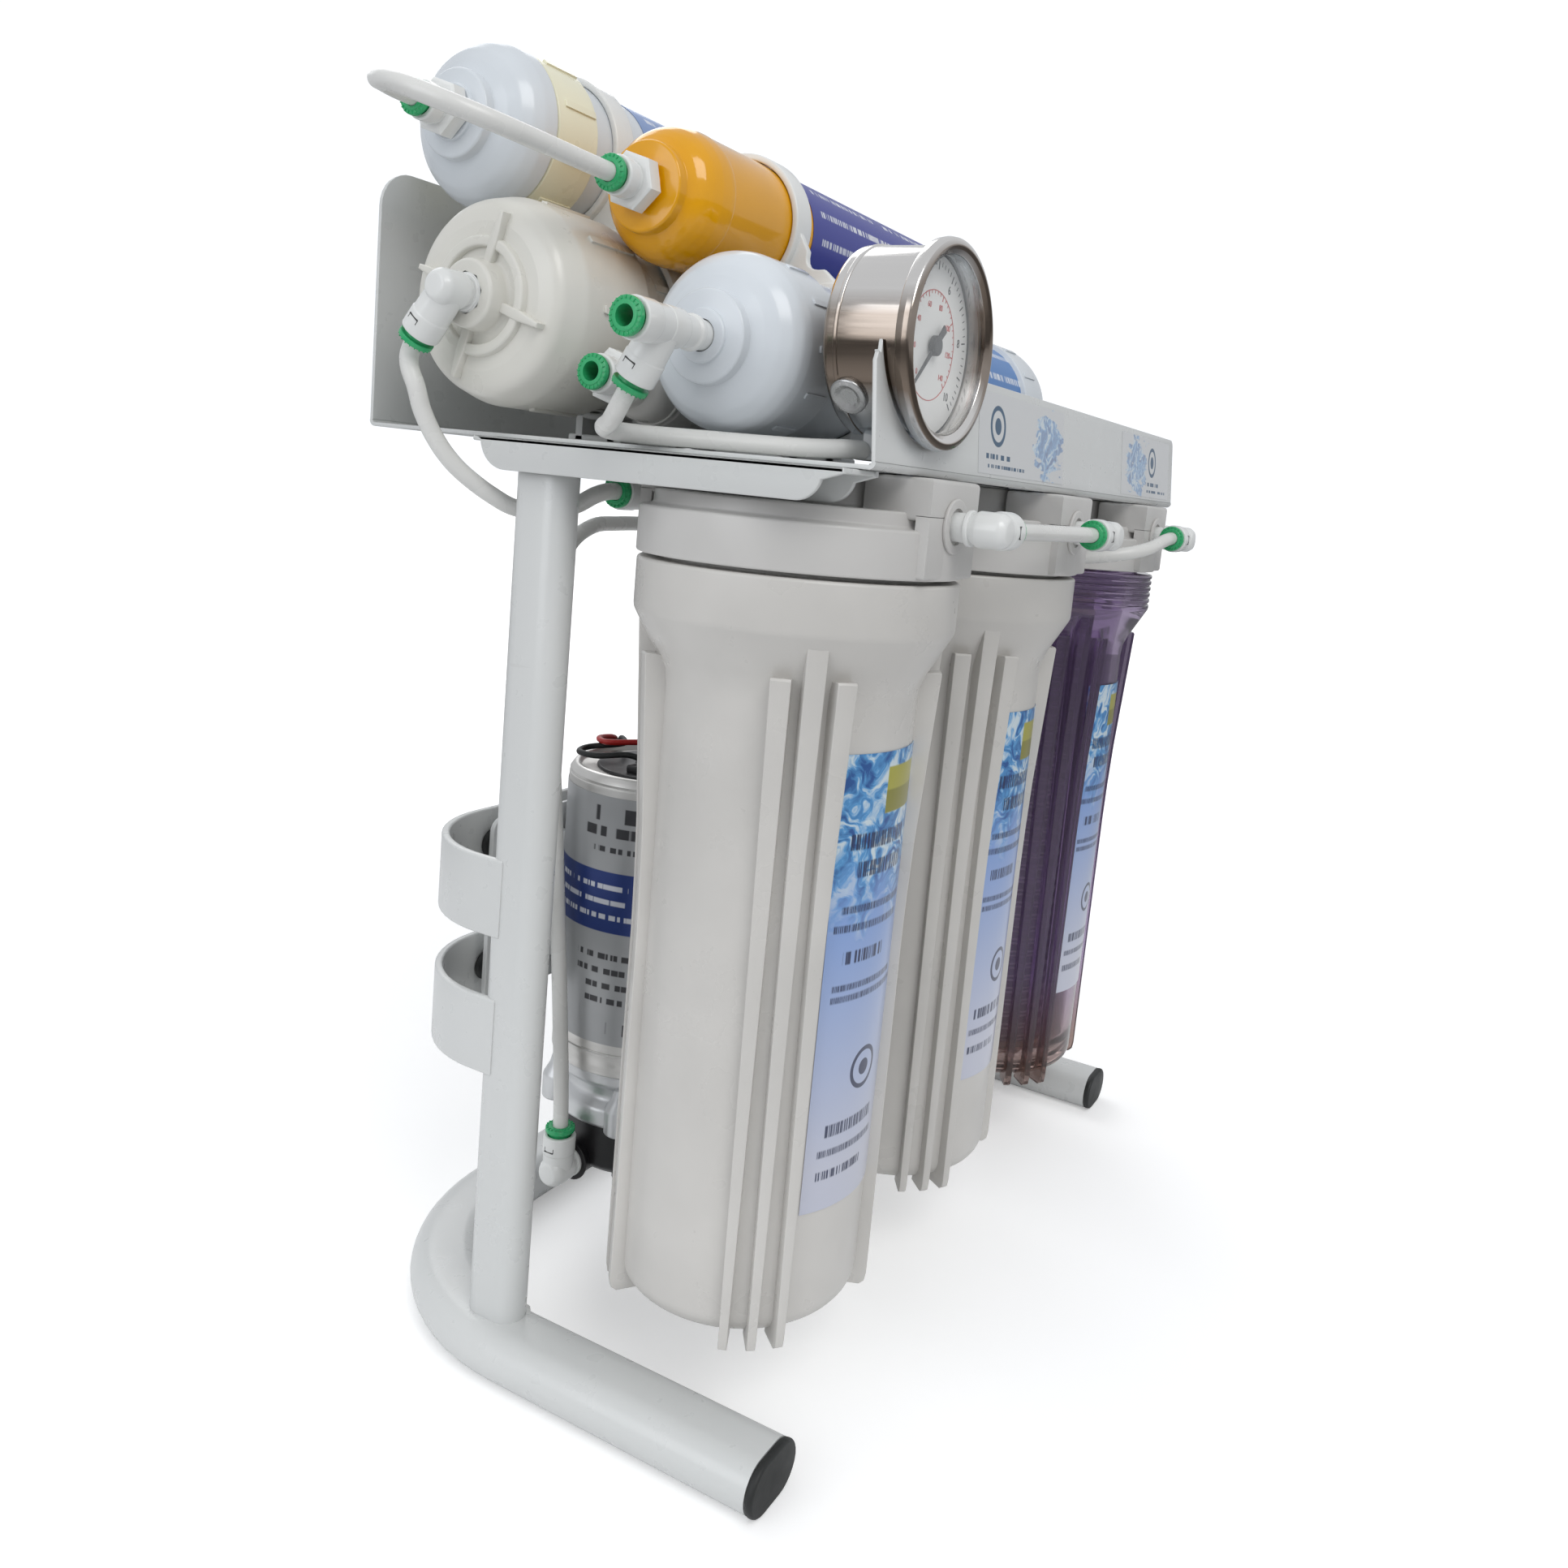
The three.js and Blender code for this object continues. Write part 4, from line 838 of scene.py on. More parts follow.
def tray():
    """Bent sheet: a slotted floor, a leaning front flange notched for the gauge, and a rear flange."""
    low, high = box("tray")
    half = high.x
    front, rear = HOUSING_Y - 53, high.y
    bend = 2.5
    slots = []
    for stage in STAGES:
        for y in (HOUSING_Y - 40, HOUSING_Y + 40):
            x = STAGE_X[stage] - 16
            slots.append(arc(x + 9, y, 3.6, -90, 90, 8) + arc(x - 9, y, 3.6, 90, 270, 8))
    slots.append(ring_outline(GAUGE_X, GAUGE_STEM_Y, 9, 32))
    outline = [(-half, front + bend), (half, front + bend), (half, rear - bend), (-half, rear - bend)]
    shape = Shape().add(plate(outline, TRAY_SHEET, slots, bevel=0.3), move(0, 0, low.z + TRAY_SHEET / 2))

    where = move(0, rear - TRAY_SHEET / 2, low.z) @ FACING_FRONT
    shape.add(plate(rear_flange(half, bend, high.z - low.z), TRAY_SHEET, bevel=0.35), where)
    lean = Matrix.Rotation(-math.atan2(FRONT_LEAN, FRONT_FLANGE), 4, "X")
    where = move(0, front + TRAY_SHEET / 2, low.z) @ lean @ FACING_FRONT
    shape.add(plate(front_flange(half, bend, low.z), TRAY_SHEET, bevel=0.35), where)
    for y, side in ((front, 1), (rear, -1)):
        shape.add(tray_fold(y, side, bend, half, low.z))
    piece("tray_sheet", shape, WHITE_COAT, replaces=("tray",), sharp=30)

    def on_flange(u, v, lift):
        return Vector((u, front + (v / FRONT_FLANGE) * FRONT_LEAN - lift * 0.99, low.z + v))

    stickers = ((-100, -5, 0.8, 0.2), (84, 174, 0.3, 0.62))
    for k, (start, end, splash_at, mark_at) in enumerate(stickers):
        name = "flange_sticker_" + str(k + 1)
        art = picture_label(name.replace("_", " "), 2.3 + 4.1 * k, splash_at, mark_at)
        label(name, on_flange, (start, end), (4, 34), art, columns=4)


def rear_flange(half, bend, height):
    corner = 14
    outline = [(-half, bend), (half, bend)]
    outline += arc(half - corner, height - corner, corner, 0, 90, 8)
    return outline + arc(-half + corner, height - corner, corner, 90, 180, 8)


def front_flange(half, bend, floor_z):
    """The notch for the gauge leaves a small curved horn at the flange's left end."""
    top = FRONT_FLANGE
    hole = 32.5
    hole_z = GAUGE_Z - floor_z
    notch = math.degrees(math.asin((top - hole_z) / hole))
    outline = [(-half, bend), (half, bend)]
    outline += arc(half - 4, top - 4, 4, 0, 90, 5)
    outline += arc(GAUGE_X, hole_z, hole, notch, -180 - notch - 6, 30)
    last_x = outline[-1][0]
    outline += [(last_x - 1.2, top - 0.8), (last_x - 3.2, top - 0.2), (-half + 1.4, top - 1.0)]
    return outline + [(-half, top - 3.5)]


def tray_fold(y, side, bend, half, floor_z):
    """The rounded fold between the floor and a flange. side is 1 at the front and -1 at the rear."""
    outer = arc(bend, bend, bend, 180, 270, 6) if side > 0 else arc(-bend, bend, bend, 0, -90, 6)
    inner = []
    for px, pz in outer:
        inner.append((px + (side * bend - px) * TRAY_SHEET / bend, pz + (bend - pz) * TRAY_SHEET / bend))
    section = outer + inner[::-1]
    vertices = [Vector((x, y + px, floor_z + pz)) for x in (-half, half) for px, pz in section]
    count = len(section)
    faces = [(k, (k + 1) % count, count + (k + 1) % count, count + k) for k in range(count)]
    return vertices, faces + [tuple(range(count)), tuple(range(count, 2 * count))]


# ---------- filter housings ----------

def head(stage):
    x = STAGE_X[stage]
    top = box(stage + "_head")[1].z
    radius = 59.5
    skirt = 321.0
    half_boss = 20
    shape = Shape().lathe([
        (0, 307.2, 0), (15, 307.2, 1.5), (15, 340.6, 1), (52, 340.6, 1.5), (52, skirt, 0.5),
        (radius, skirt, 0.8), (radius, 337.6, 1.2), (54.6, 338.4, 1), (54.2, 343.6, 1),
        (36.4, 343.7, 1), (36.4, top - 0.1, 1), (0, top - 0.1, 0),
    ], 120, move(x, HOUSING_Y, 0))
    for side in (-1, 1):
        face = HOUSING_Y + side * 59.2
        y0, y1 = sorted((face, HOUSING_Y + side * 34))
        shape.block((x - half_boss, y0, 341), (x + half_boss, y1, top - 0.2), 1.6)
        y0, y1 = sorted((face, HOUSING_Y + side * 54))
        shape.block((x - half_boss, y0, skirt + 0.6), (x + half_boss, y1, 344), 1.2)
        where = move(0, face - (1.3 if side < 0 else 0.1), 0) @ along_y(x, PORT_Z)
        shape.lathe([(6.4, 0, 0), (9.5, 0, 0.5), (9.5, 1.4, 0.6), (6.4, 1.4, 0.3)], 40, where)
    piece(stage + "_housing_head", shape, HEAD_PLASTIC, replaces=(stage + "_head",))


def grip_rib(low, top, bottom):
    """Rib in the plane of X and Z: it widens and flares outwards from its tip up to the collar."""
    flare = 56.3 - (RIB_FULL_TOP - top) * 4.1 / 72
    outline = [(44.4, top - 1), (44.6, bottom + 14), (43, bottom + 6), (39.5, bottom + 1.6), (39, low + 0.4)]
    outline += [(48.6, low), (50.6, low + 1.6), (51.2, low + 5), (51.2, 180), (51.5, 200), (52.2, 222)]
    outline += [(53.7, 248), (flare - 0.5, top - 9), (flare, top - 0.8), (flare - 0.6, top)]
    vertices, faces = plate(outline, 2, bevel=0.35)
    wide = []
    for x, y, z in vertices:
        rise = (y - low) / (RIB_FULL_TOP - low)
        half = (RIB_WIDTH["tip"] + (RIB_WIDTH["top"] - RIB_WIDTH["tip"]) * rise) / 2
        edge = math.copysign(half - (1 - abs(z)), z) if abs(z) > 0.3 else z
        wide.append(Vector((x, edge, y)))
    return wide, faces


def sump(stage):
    """Cup with a collar, a tapered shoulder and grip ribs in threes on its four diagonals."""
    node = stage + "_sump"
    low, high = box(node)
    clear = stage == "sediment"
    bottom = low.z + 2
    where = move(STAGE_X[stage], HOUSING_Y, 0)
    inner = 43 if clear else 43.4
    profile = [(0, bottom, 0), (30, bottom + 0.3, 20), (46.2, bottom + 1.5, 17), (47.9, 281, 22)]
    profile += [(59, 301, 5)]
    if clear:
        for k in range(5):
            z = 303 + 3.2 * k
            profile += [(59, z, 0.2), (58.3, z + 0.5, 0.2), (58.3, z + 1.1, 0.2), (59, z + 1.6, 0.2)]
    profile += [(59, 319.4, 1.3), (51, 319.4, 0.6)]
    if clear:
        for k in range(4):
            z = 321 + 3.6 * k
            profile += [(50, z, 0.3), (51.2, z + 0.9, 0.3), (51.2, z + 1.7, 0.3), (50, z + 2.6, 0.3)]
    profile += [(50.4, high.z - 0.1, 0.5), (inner + 3, high.z - 0.1, 0.5), (inner + 3, 305, 8)]
    profile += [(inner, 280, 10), (inner - 1, bottom + 16, 14), (30, bottom + 4.2, 14), (0, bottom + 4, 0)]
    shape = Shape().lathe(profile, 128, where)
    for diagonal in range(4):
        for place in (-1, 0, 1):
            angle = PI / 4 + diagonal * PI / 2 + place * RIB_SPACING + SUMP_TURN[stage]
            top = 298 if place == 0 else 286
            shape.add(grip_rib(low.z, top, bottom), where @ turn_z(angle))
    material = SMOKY if clear else WHITE_PLASTIC
    piece(stage + "_sump_cup", shape, material, body=stage + "_sump_bowl", replaces=(node,))


def sump_labels():
    for k, stage in enumerate(STAGES):
        x = STAGE_X[stage]

        def on_sump(u, v, lift, x=x):
            radius = 46.3 + 1.6 * (v - 45) / 230 + 0.12 + lift
            angle = math.radians(u)
            return Vector((x + radius * math.cos(angle), HOUSING_Y + radius * math.sin(angle), v))

        material = sump_label((0.4, 0.38, 0.06), 1.7 + 5.3 * k)
        body = stage + "_sump_bowl"
        label(stage + "_label", on_sump, LABEL_ANGLE[stage], (90, 260), material, body)


def sediment_cartridge():
    """Spun cartridge with end caps, seen through the clear sump."""
    node = "sediment_cartridge"
    low, high = box(node)
    where = move(STAGE_X["sediment"], HOUSING_Y, 0)
    shape = Shape().lathe([
        (14.2, low.z + 4, 1), (30.2, low.z + 4, 2), (30.4, high.z - 4, 2), (14.2, high.z - 4, 1),
    ], 96, where)
    body = "sediment_sump_bowl"
    piece("sediment_media", shape, NETTING, body=body, replaces=(node,))
    caps = Shape()
    for z in (low.z, high.z - 5):
        caps.lathe([(14, z, 0.6), (31.4, z, 1.2), (31.4, z + 5, 1.2), (14, z + 5, 0.6)], 72, where)
    piece("sediment_end_caps", caps, CREAM_PLASTIC, body=body, slot="filter_media")


def housing_screws():
    """Screw heads and washers in the tray's slots, over each head."""
    top = box("tray")[0].z + TRAY_SHEET
    for stage in STAGES:
        shape = Shape()
        for y in (-40, 40):
            where = move(STAGE_X[stage] - 14, HOUSING_Y + y, top)
            shape.lathe([(0, 0, 0), (7.5, 0, 0.2), (7.5, 1.2, 0.5), (0, 1.2, 0)], 40, where)
            shape.lathe([(0, 1.2, 0), (4.4, 1.2, 0.3), (4.2, 3, 1.2), (0, 3.6, 0)], 32, where)
        piece(stage + "_mounting_screws", shape, SCREW_STEEL)


# ---------- filters on the tray ----------

def axial_ribs(shape, where, radius, proud, span, count, width, phase=0.0):
    """Low straight ribs along a round part, over a span of its axis."""
    start, end = span
    for k in range(count):
        turned = where @ turn_z(2 * PI * k / count + phase)
        shape.block((radius - 1.5, -width / 2, start), (radius + proud, width / 2, end), 0.5, turned)


def membrane_housing():
    high = box("membrane_housing")[1]
    middle = centre("membrane_housing")
    where = along_x(middle.y, middle.z)
    shape = Shape().lathe([
        (28.8, -172, 0.5), (31, -172, 0.5), (31, -149, 0.4), (33.5, -149, 0.8), (33.5, -141, 0.8),
        (32.4, -140, 0.8), (32.2, 92, 1), (33.5, 94, 1), (33.5, 100, 4), (22, high.x - 1, 6),
        (9, high.x, 1.5), (7, high.x, 0.5), (5.3, 98, 0.5), (28.8, 90, 3),
    ], 96, where)
    axial_ribs(shape, where, 32.2, 1.0, (-140, 92), 10, 2.6, 0.2)
    piece("membrane_tube_body", shape, MEMBRANE_PLASTIC, replaces=("membrane_housing",))

    cap_low, cap_high = box("membrane_cap")
    hub, rim = cap_low.x, cap_high.x
    face = hub + 7
    shape = Shape().lathe([
        (0, face + 4, 0), (6.4, face + 4, 0.3), (6.4, hub, 0.4), (11.6, hub, 1.4), (12.4, face + 0.5, 1.5),
        (25.5, face + 0.8, 2), (33, face + 2.6, 6), (36.4, face + 14, 9), (36.4, rim, 1.2),
        (31.5, rim, 0.6), (31.5, face + 22, 1), (0, face + 22, 0),
    ], 96, where)
    shape.lathe([
        (16.4, face + 1.5, 0.2), (16.6, face - 1.6, 0.9), (20.2, face - 1.6, 0.9), (20.8, face + 1.5, 0.2),
    ], 96, where)
    outline = [(11, -1.7), (20, -1.9), (29.5, -0.9), (29.5, 0.9), (20, 1.9), (11, 1.7)]
    for quarter in range(4):
        turned = where @ turn_z(0.33 + quarter * PI / 2)
        shape.add(plate(outline, 5.6, bevel=0.6), turned @ move(0, 0, face + 0.7))
    axial_ribs(shape, where, 36.4, 0.9, (face + 22, rim - 3), 9, 2.8, 0.35)
    body = "membrane_screw_cap"
    piece(body, shape, MEMBRANE_PLASTIC, body=body, replaces=("membrane_cap",))


def filter_end(half, rim, body, boss, shoulder, dome, collar):
    """Half of an inline filter's outline, from the tip of its boss to its body."""
    start = half - 3
    points = [(5.3, half, 0.3), (boss - 2, half, 0.8), (boss - 2, half - 1.4, 0.3), (shoulder, half - 1.8, 1)]
    points += [(shoulder + 0.3, start - 2.6, 0.4)]
    for k in range(1, 6):
        a = math.radians(18 * k)
        radius = shoulder + 0.4 + (rim - shoulder - 0.4) * math.sin(a)
        points.append((radius, start - 3.6 - (dome - 3.6) * (1 - math.cos(a)), 6))
    return points + [(rim, start - dome - collar, 1), (body, start - dome - collar - 0.8, 0.6)]


def inline_filter(node, rim, body, boss, shoulder, dome, collar, tilt=0.0):
    """Cartridge turned about X. Returns the shape, its matrix and half its length."""
    low, high = box(node)
    half = (high.x - low.x) / 2
    far = filter_end(half, rim, body, boss, shoulder, dome, collar)
    near = [(radius, -height, round_by) for radius, height, round_by in far]
    inside = [(5.3, half - 9, 1), (body - 2.5, half - dome - 8, 3), (body - 2.5, -half + dome + 8, 3)]
    inside += [(5.3, -half + 9, 1)]
    where = Matrix.Translation((low + high) / 2) @ Matrix.Rotation(tilt, 4, "Y") @ along_x(0, 0)
    return Shape().lathe(near + far[::-1] + inside, 96, where), where, half


def filters():
    dome = 17.0
    shape, where, half = inline_filter("post_carbon_filter", 30.5, 28.0, 11.0, 15.4, dome, 21.0)
    axial_ribs(shape, where, 30.4, 0.7, (-half + dome + 8, -half + dome + 21), 12, 2.2)
    axial_ribs(shape, where, 30.4, 0.7, (half - dome - 21, half - dome - 8), 12, 2.2)
    piece("post_carbon_case", shape, FROSTED_PLASTIC, replaces=("post_carbon_filter",))

    shape, _, _ = inline_filter("mineral_filter", 24.2, 24.0, 9.5, 15.6, 18.0, 2.0)
    piece("mineral_case", shape, AMBER_PLASTIC, replaces=("mineral_filter",))

    shape, where, half = inline_filter("polishing_filter", 30.0, 27.2, 12.0, 15.6, 19.0, 1.0)
    piece("polishing_case", shape, FROSTED_PLASTIC, replaces=("polishing_filter",), slot="warm_plastic")
    collars = Shape()
    for sign in (-1, 1):
        start, end = sorted((sign * (half - 24), sign * (half - 46)))
        collars.lathe([(26.5, start, 0.4), (29.7, start, 0.8), (29.7, end, 0.8), (26.5, end, 0.4)], 96, where)
        axial_ribs(collars, where, 29.6, 0.8, (start + 4, end - 1), 10, 2.6, 0.3)
    piece("polishing_collars", collars, CREAM_PLASTIC)

    shape, where, half = inline_filter("capsule_filter", 13.0, 13.8, 7.5, 8.6, 11.0, 6.0, CAPSULE_TILT)
    for sign in (-1, 1):
        for k in range(4):
            spot = sign * (half - 18 - 3.4 * k)
            low, high = spot - 0.8, spot + 0.8
            shape.lathe([(12, low, 0), (13.7, low, 0.4), (13.7, high, 0.4), (12, high, 0)], 64, where)
    piece("capsule_case", shape, WHITE_PLASTIC, replaces=("capsule_filter",))

    wraps = (
        ("mineral", 24.1, (-92, 62), 0.10, (0.04, 0.05, 0.3)),
        ("post_carbon", 28.1, (-94, 52), 0.2, (0.06, 0.2, 0.5)),
        ("polishing", 27.3, (-110, 44), 0.3, (0.2, 0.3, 0.55)),
    )
    for name, radius, span, seed, colour in wraps:
        middle = centre(name + "_filter")

        def on_filter(u, v, lift, radius=radius, middle=middle):
            angle = math.radians(v)
            y = middle.y + (radius + lift) * math.cos(angle)
            return Vector((u, y, middle.z + (radius + lift) * math.sin(angle)))

        stripes = [(0.08, 0.14, (0.75, 0.3, 0.03)), (0.16, 0.5, colour), (0.55, 0.9, colour)]
        lines = [(0.525, 0.012, 0.1, 0.9)]
        title = name.replace("_", " ") + " label"
        material = plain_label(title, (0.8, 0.8, 0.78), stripes, lines, 5 + seed * 10)
        label(name + "_label", on_filter, span, (-60, 240), material, columns=6, rows=60)


def clip_web(lower, lower_radius, upper, upper_radius):
    """Outline of the pinched web between a clip's two rings, and its middle and the way across it."""
    along = (upper - lower).normalized()
    across = Vector((-along.y, along.x))
    start = lower + along * (lower_radius + 0.4)
    end = upper - along * (upper_radius + 0.4)
    wide, narrow = 0.8 * lower_radius, 0.82 * upper_radius
    steps = 8
    left, right = [], []
    for k in range(steps + 1):
        t = k / steps
        half = (wide + (narrow - wide) * t) * (1 - 0.28 * math.sin(PI * t))
        shift = 0
        if k == 0:
            shift = math.sqrt(lower_radius ** 2 - half ** 2) - lower_radius
        if k == steps:
            shift = upper_radius - math.sqrt(upper_radius ** 2 - half ** 2)
        spot = start.lerp(end, t) + along * shift
        left.append(tuple(spot - across * half))
        right.append(tuple(spot + across * half))
    return left + right[::-1], start.lerp(end, 0.5), across


def double_clip(node, upper_node, upper_radius, lower_node, lower_radius, hole=False):
    """Two rings, a tapered web between them, and a foot on the tray."""
    low, high = box(node)
    width = high.x - low.x
    wall = 2.6
    upper, lower = centre(upper_node).yz, centre(lower_node).yz
    turn = move((low.x + high.x) / 2, 0, 0) @ along_x(0, 0)
    shape = Shape()
    for spot, radius in ((upper, upper_radius), (lower, lower_radius)):
        outer = ring_outline(spot.x, spot.y, radius + wall, 96)
        shape.add(plate(outer, width, [ring_outline(spot.x, spot.y, radius, 96)], bevel=0.7), turn)
    outline, middle, across = clip_web(lower, lower_radius, upper, upper_radius)
    spot = middle - across * 8
    holes = [ring_outline(spot.x, spot.y, 3.4, 32)] if hole else []
    shape.add(plate(outline, 3.2, holes, bevel=0.6), move(-width / 2 + 4.4, 0, 0) @ turn)
    shape.block((low.x, lower.x - 13, low.z), (high.x, lower.x + 13, low.z + 3), 0.8)
    foot_top = lower.y - lower_radius + 2.6
    for side in (-1, 1):
        y = lower.x + side * 8
        shape.block((low.x, y - 1.6, low.z), (high.x, y + 1.6, foot_top), 0.6)
    piece(node + "_moulding", shape, FITTING_PLASTIC, replaces=(node,))


# ---------- push fittings and tubing ----------

def collet_origin(node, inward):
    """Where the back of a collet's flange meets its axis."""
    points = unique_vertices(node)
    heights = [point.dot(inward) for point in points]
    middle = sum(points, Vector()) / len(points)
    flat = middle - inward * middle.dot(inward)
    return flat + inward * (min(heights) + COLLET_FLANGE)


def collet(name, origin, inward, side, body="root", replaces=()):
    """A ring with a flange and small raised teeth around its face."""
    side = (side - inward * side.dot(inward)).normalized()
    where = frame_matrix(origin, side, inward)
    shape = Shape().lathe([
        (3.35, -2.2, 0.5), (4.6, -2.2, 0.2), (4.9, -1.9, 0.2), (6.15, -1.9, 0.5), (6.2, 0, 0.3),
        (4.6, 0, 0.2), (4.5, 6.4, 0.3), (3.4, 6.4, 0.3),
    ], 48, where)
    for k in range(20):
        shape.block((5.0, -0.16, -2.25), (6.0, 0.16, -1.75), 0.08, where @ turn_z(2 * PI * k / 20))
    piece(name, shape, GREEN_COLLET, body=body, replaces=replaces)


def release_collet(word, length):
    """A collet that slides. Returns the corner or seat at a length behind its gap, and its inward axis."""
    node, body = word + "_collet", word + "_release"
    inward = joint_axis(body)
    origin = collet_origin(node, inward)
    side = REARWARD if abs(inward.x) > 0.9 else RIGHT
    collet(node + "_ring", origin, inward, side, body, (node,))
    return origin + inward * (COLLET_GAP + length), inward


def arm_part(length):
    """A barrel along -Z with a lip at its mouth and a stepped bore."""
    return lathe([
        (0, 2, 0), (5.6, 1, 2), (ARM_RADIUS - 0.5, -2, 1.5), (ARM_RADIUS - 0.3, -length + 8.2, 0.4),
        (ARM_RADIUS, -length + 7.6, 0.4), (ARM_RADIUS, -length, 0.7), (5.0, -length, 0.4),
        (4.95, -length + 6.8, 0.3), (3.6, -length + 7.2, 0.3), (3.6, -length + 11, 0.3), (0, -length + 11, 0),
    ], 48)


def latch(name, length, where):
    """The locking slot on the side of a barrel, drawn as three short near-black bars: painted shade standing
    for the slot's dark inside.
    """
    r = ARM_RADIUS
    shape = Shape()
    for low, high in (
        ((-r - 0.06, -2.2, -length + 5.6), (-r + 0.7, 2.2, -length + 6.1)),
        ((-r + 0.32, -2.3, -length + 4.0), (-r + 0.7, -1.9, -length + 6.1)),
        ((-r + 0.32, 1.9, -length + 4.0), (-r + 0.7, 2.3, -length + 6.1)),
    ):
        shape.block(low, high, 0.12, where)
    piece(name, shape, PAINTED_SLOT_SHADE)


def elbow(word, corner, stem, arm, stem_length, length=ARM_LENGTH, hexagon=False):
    """Rounded knee with a barrel on its arm and a shank towards the part it is screwed into."""
    where = frame_matrix(corner, stem, -arm)
    shank = where @ along_x(0, 0)
    shape = Shape().add(arm_part(length), where)
    shape.lathe([
        (0, -ARM_RADIUS - 0.2, 0), (4.2, -ARM_RADIUS - 0.2, 1.6), (6.2, -4.5, 3), (6.4, 4, 2), (5.2, 6.6, 1),
        (5.0, stem_length, 0.5), (0, stem_length, 0),
    ], 48, shank)
    shape.lathe([(0, 6.6, 0), (6.3, 6.6, 0.5), (6.3, 8.4, 0.5), (0, 8.4, 0)], 48, shank)
    if hexagon:
        shape.lathe([(0, 7.5, 0), (7.6, 7.5, 0.3), (7.6, 10.5, 0.3), (0, 10.5, 0)], 8, shank)
    name = word + "_elbow"
    piece(name + "_body", shape, FITTING_PLASTIC, replaces=(name,))
    latch(name + "_body_latch", length, where)


def tee():
    corner, inward = release_collet("tee_branch", LONG_ARM)
    release_collet("tee_run", ARM_LENGTH)
    branch = frame_matrix(corner, RIGHT, inward)
    run = frame_matrix(corner, UP, RIGHT)
    shape = Shape().add(arm_part(LONG_ARM), branch).add(arm_part(ARM_LENGTH), run)
    shape.lathe([(0, -2, 0), (6.5, -2, 1), (6.5, 6.5, 1.2), (5.4, 7.2, 0.6), (5.2, 13, 0.6), (6, 13.6, 0.6),
                 (6, 15.4, 0.6), (5, 16, 0.3), (5, 26, 0.3), (0, 26, 0)], 48, run)
    piece("tee_body", shape, FITTING_PLASTIC, replaces=("tee_fitting",))
    latch("tee_latch", LONG_ARM, branch)


def straight_fitting(word):
    seat, inward = release_collet(word, BARREL)
    where = frame_matrix(seat, REARWARD, inward)
    shape = Shape().lathe([
        (3.6, -2, 0.2), (3.6, -BARREL + 7, 0.2), (4.95, -BARREL + 6.8, 0.3), (5, -BARREL, 0.4),
        (ARM_RADIUS, -BARREL, 0.8), (ARM_RADIUS, -8.2, 0.5), (6.2, -7.8, 0.4), (6.4, -6, 0.6), (5, 0, 0.2),
        (5, 7, 0.3), (3.6, 7, 0.2),
    ], 48, where)
    nut = [(5, -6.6, 0), (9.0, -6.6, 0.5), (10.2, -5.9, 0.3), (10.2, -0.5, 0.3), (5, -0.4, 0)]
    shape.lathe(nut, 6, where @ turn_z(0.3))
    piece(word + "_fitting_body", shape, FITTING_PLASTIC, replaces=(word + "_fitting",), sharp=30)


def rear_fitting(stage):
    """Straight fitting at the back of a head, with a collet that doesn't move."""
    x = STAGE_X[stage]
    where = frame_matrix(at(x, REAR_PORT_FACE, PORT_Z), RIGHT, FORWARD)
    shape = Shape().lathe([
        (3.6, 6, 0.2), (3.6, -10, 0.2), (4.9, -10.4, 0.3), (5, -16, 0.3), (ARM_RADIUS, -16, 0.8),
        (ARM_RADIUS, -9, 0.5), (6.2, -8.6, 0.4), (6.4, -1, 0.5), (5, 0, 0.2), (5, 6, 0.3),
    ], 48, where)
    shape.lathe([(5, -6.6, 0), (9.4, -6.6, 0.5), (9.4, -0.4, 0.5), (5, -0.4, 0)], 6, where)
    piece(stage + "_rear_fitting", shape, FITTING_PLASTIC, sharp=30)
    collet(stage + "_rear_collet_ring", at(x, REAR_PORT_FACE + 16.1, PORT_Z), FORWARD, UP)


def fittings():
    corner, inward = release_collet("membrane", LONG_ARM)
    elbow("membrane", corner, RIGHT, -inward, 15, LONG_ARM, hexagon=True)
    tee()
    for word in ("mineral", "polishing", "capsule"):
        straight_fitting(word)
    for stage in ("carbon", "sediment"):
        corner, inward = release_collet(stage + "_front", ARM_LENGTH)
        elbow(stage + "_front", corner, REARWARD, LEFT, 18)
    corner, inward = release_collet("pump_outlet", ARM_LENGTH)
    elbow("pump_outlet", corner, RIGHT, -inward, 12)

    low, high = box("block_front_elbow")
    corner = Vector((low.x + ARM_RADIUS, low.y + ARM_RADIUS, PORT_Z))
    elbow("block_front", corner, REARWARD, RIGHT, 18)
    collet("block_front_collet_ring", corner + RIGHT * (ARM_LENGTH + 0.1), LEFT, UP)
    low, high = box("block_rear_elbow")
    corner = Vector((high.x - ARM_RADIUS, high.y - ARM_RADIUS, PORT_Z))
    elbow("block_rear", corner, FORWARD, LEFT, 18)
    collet("block_rear_collet_ring", corner + LEFT * (ARM_LENGTH + 0.1), RIGHT, UP)
    for stage in ("carbon", "sediment"):
        rear_fitting(stage)


def is_corner(edge):
    return len(edge.link_faces) == 2 and edge.calc_face_angle() > math.radians(70)


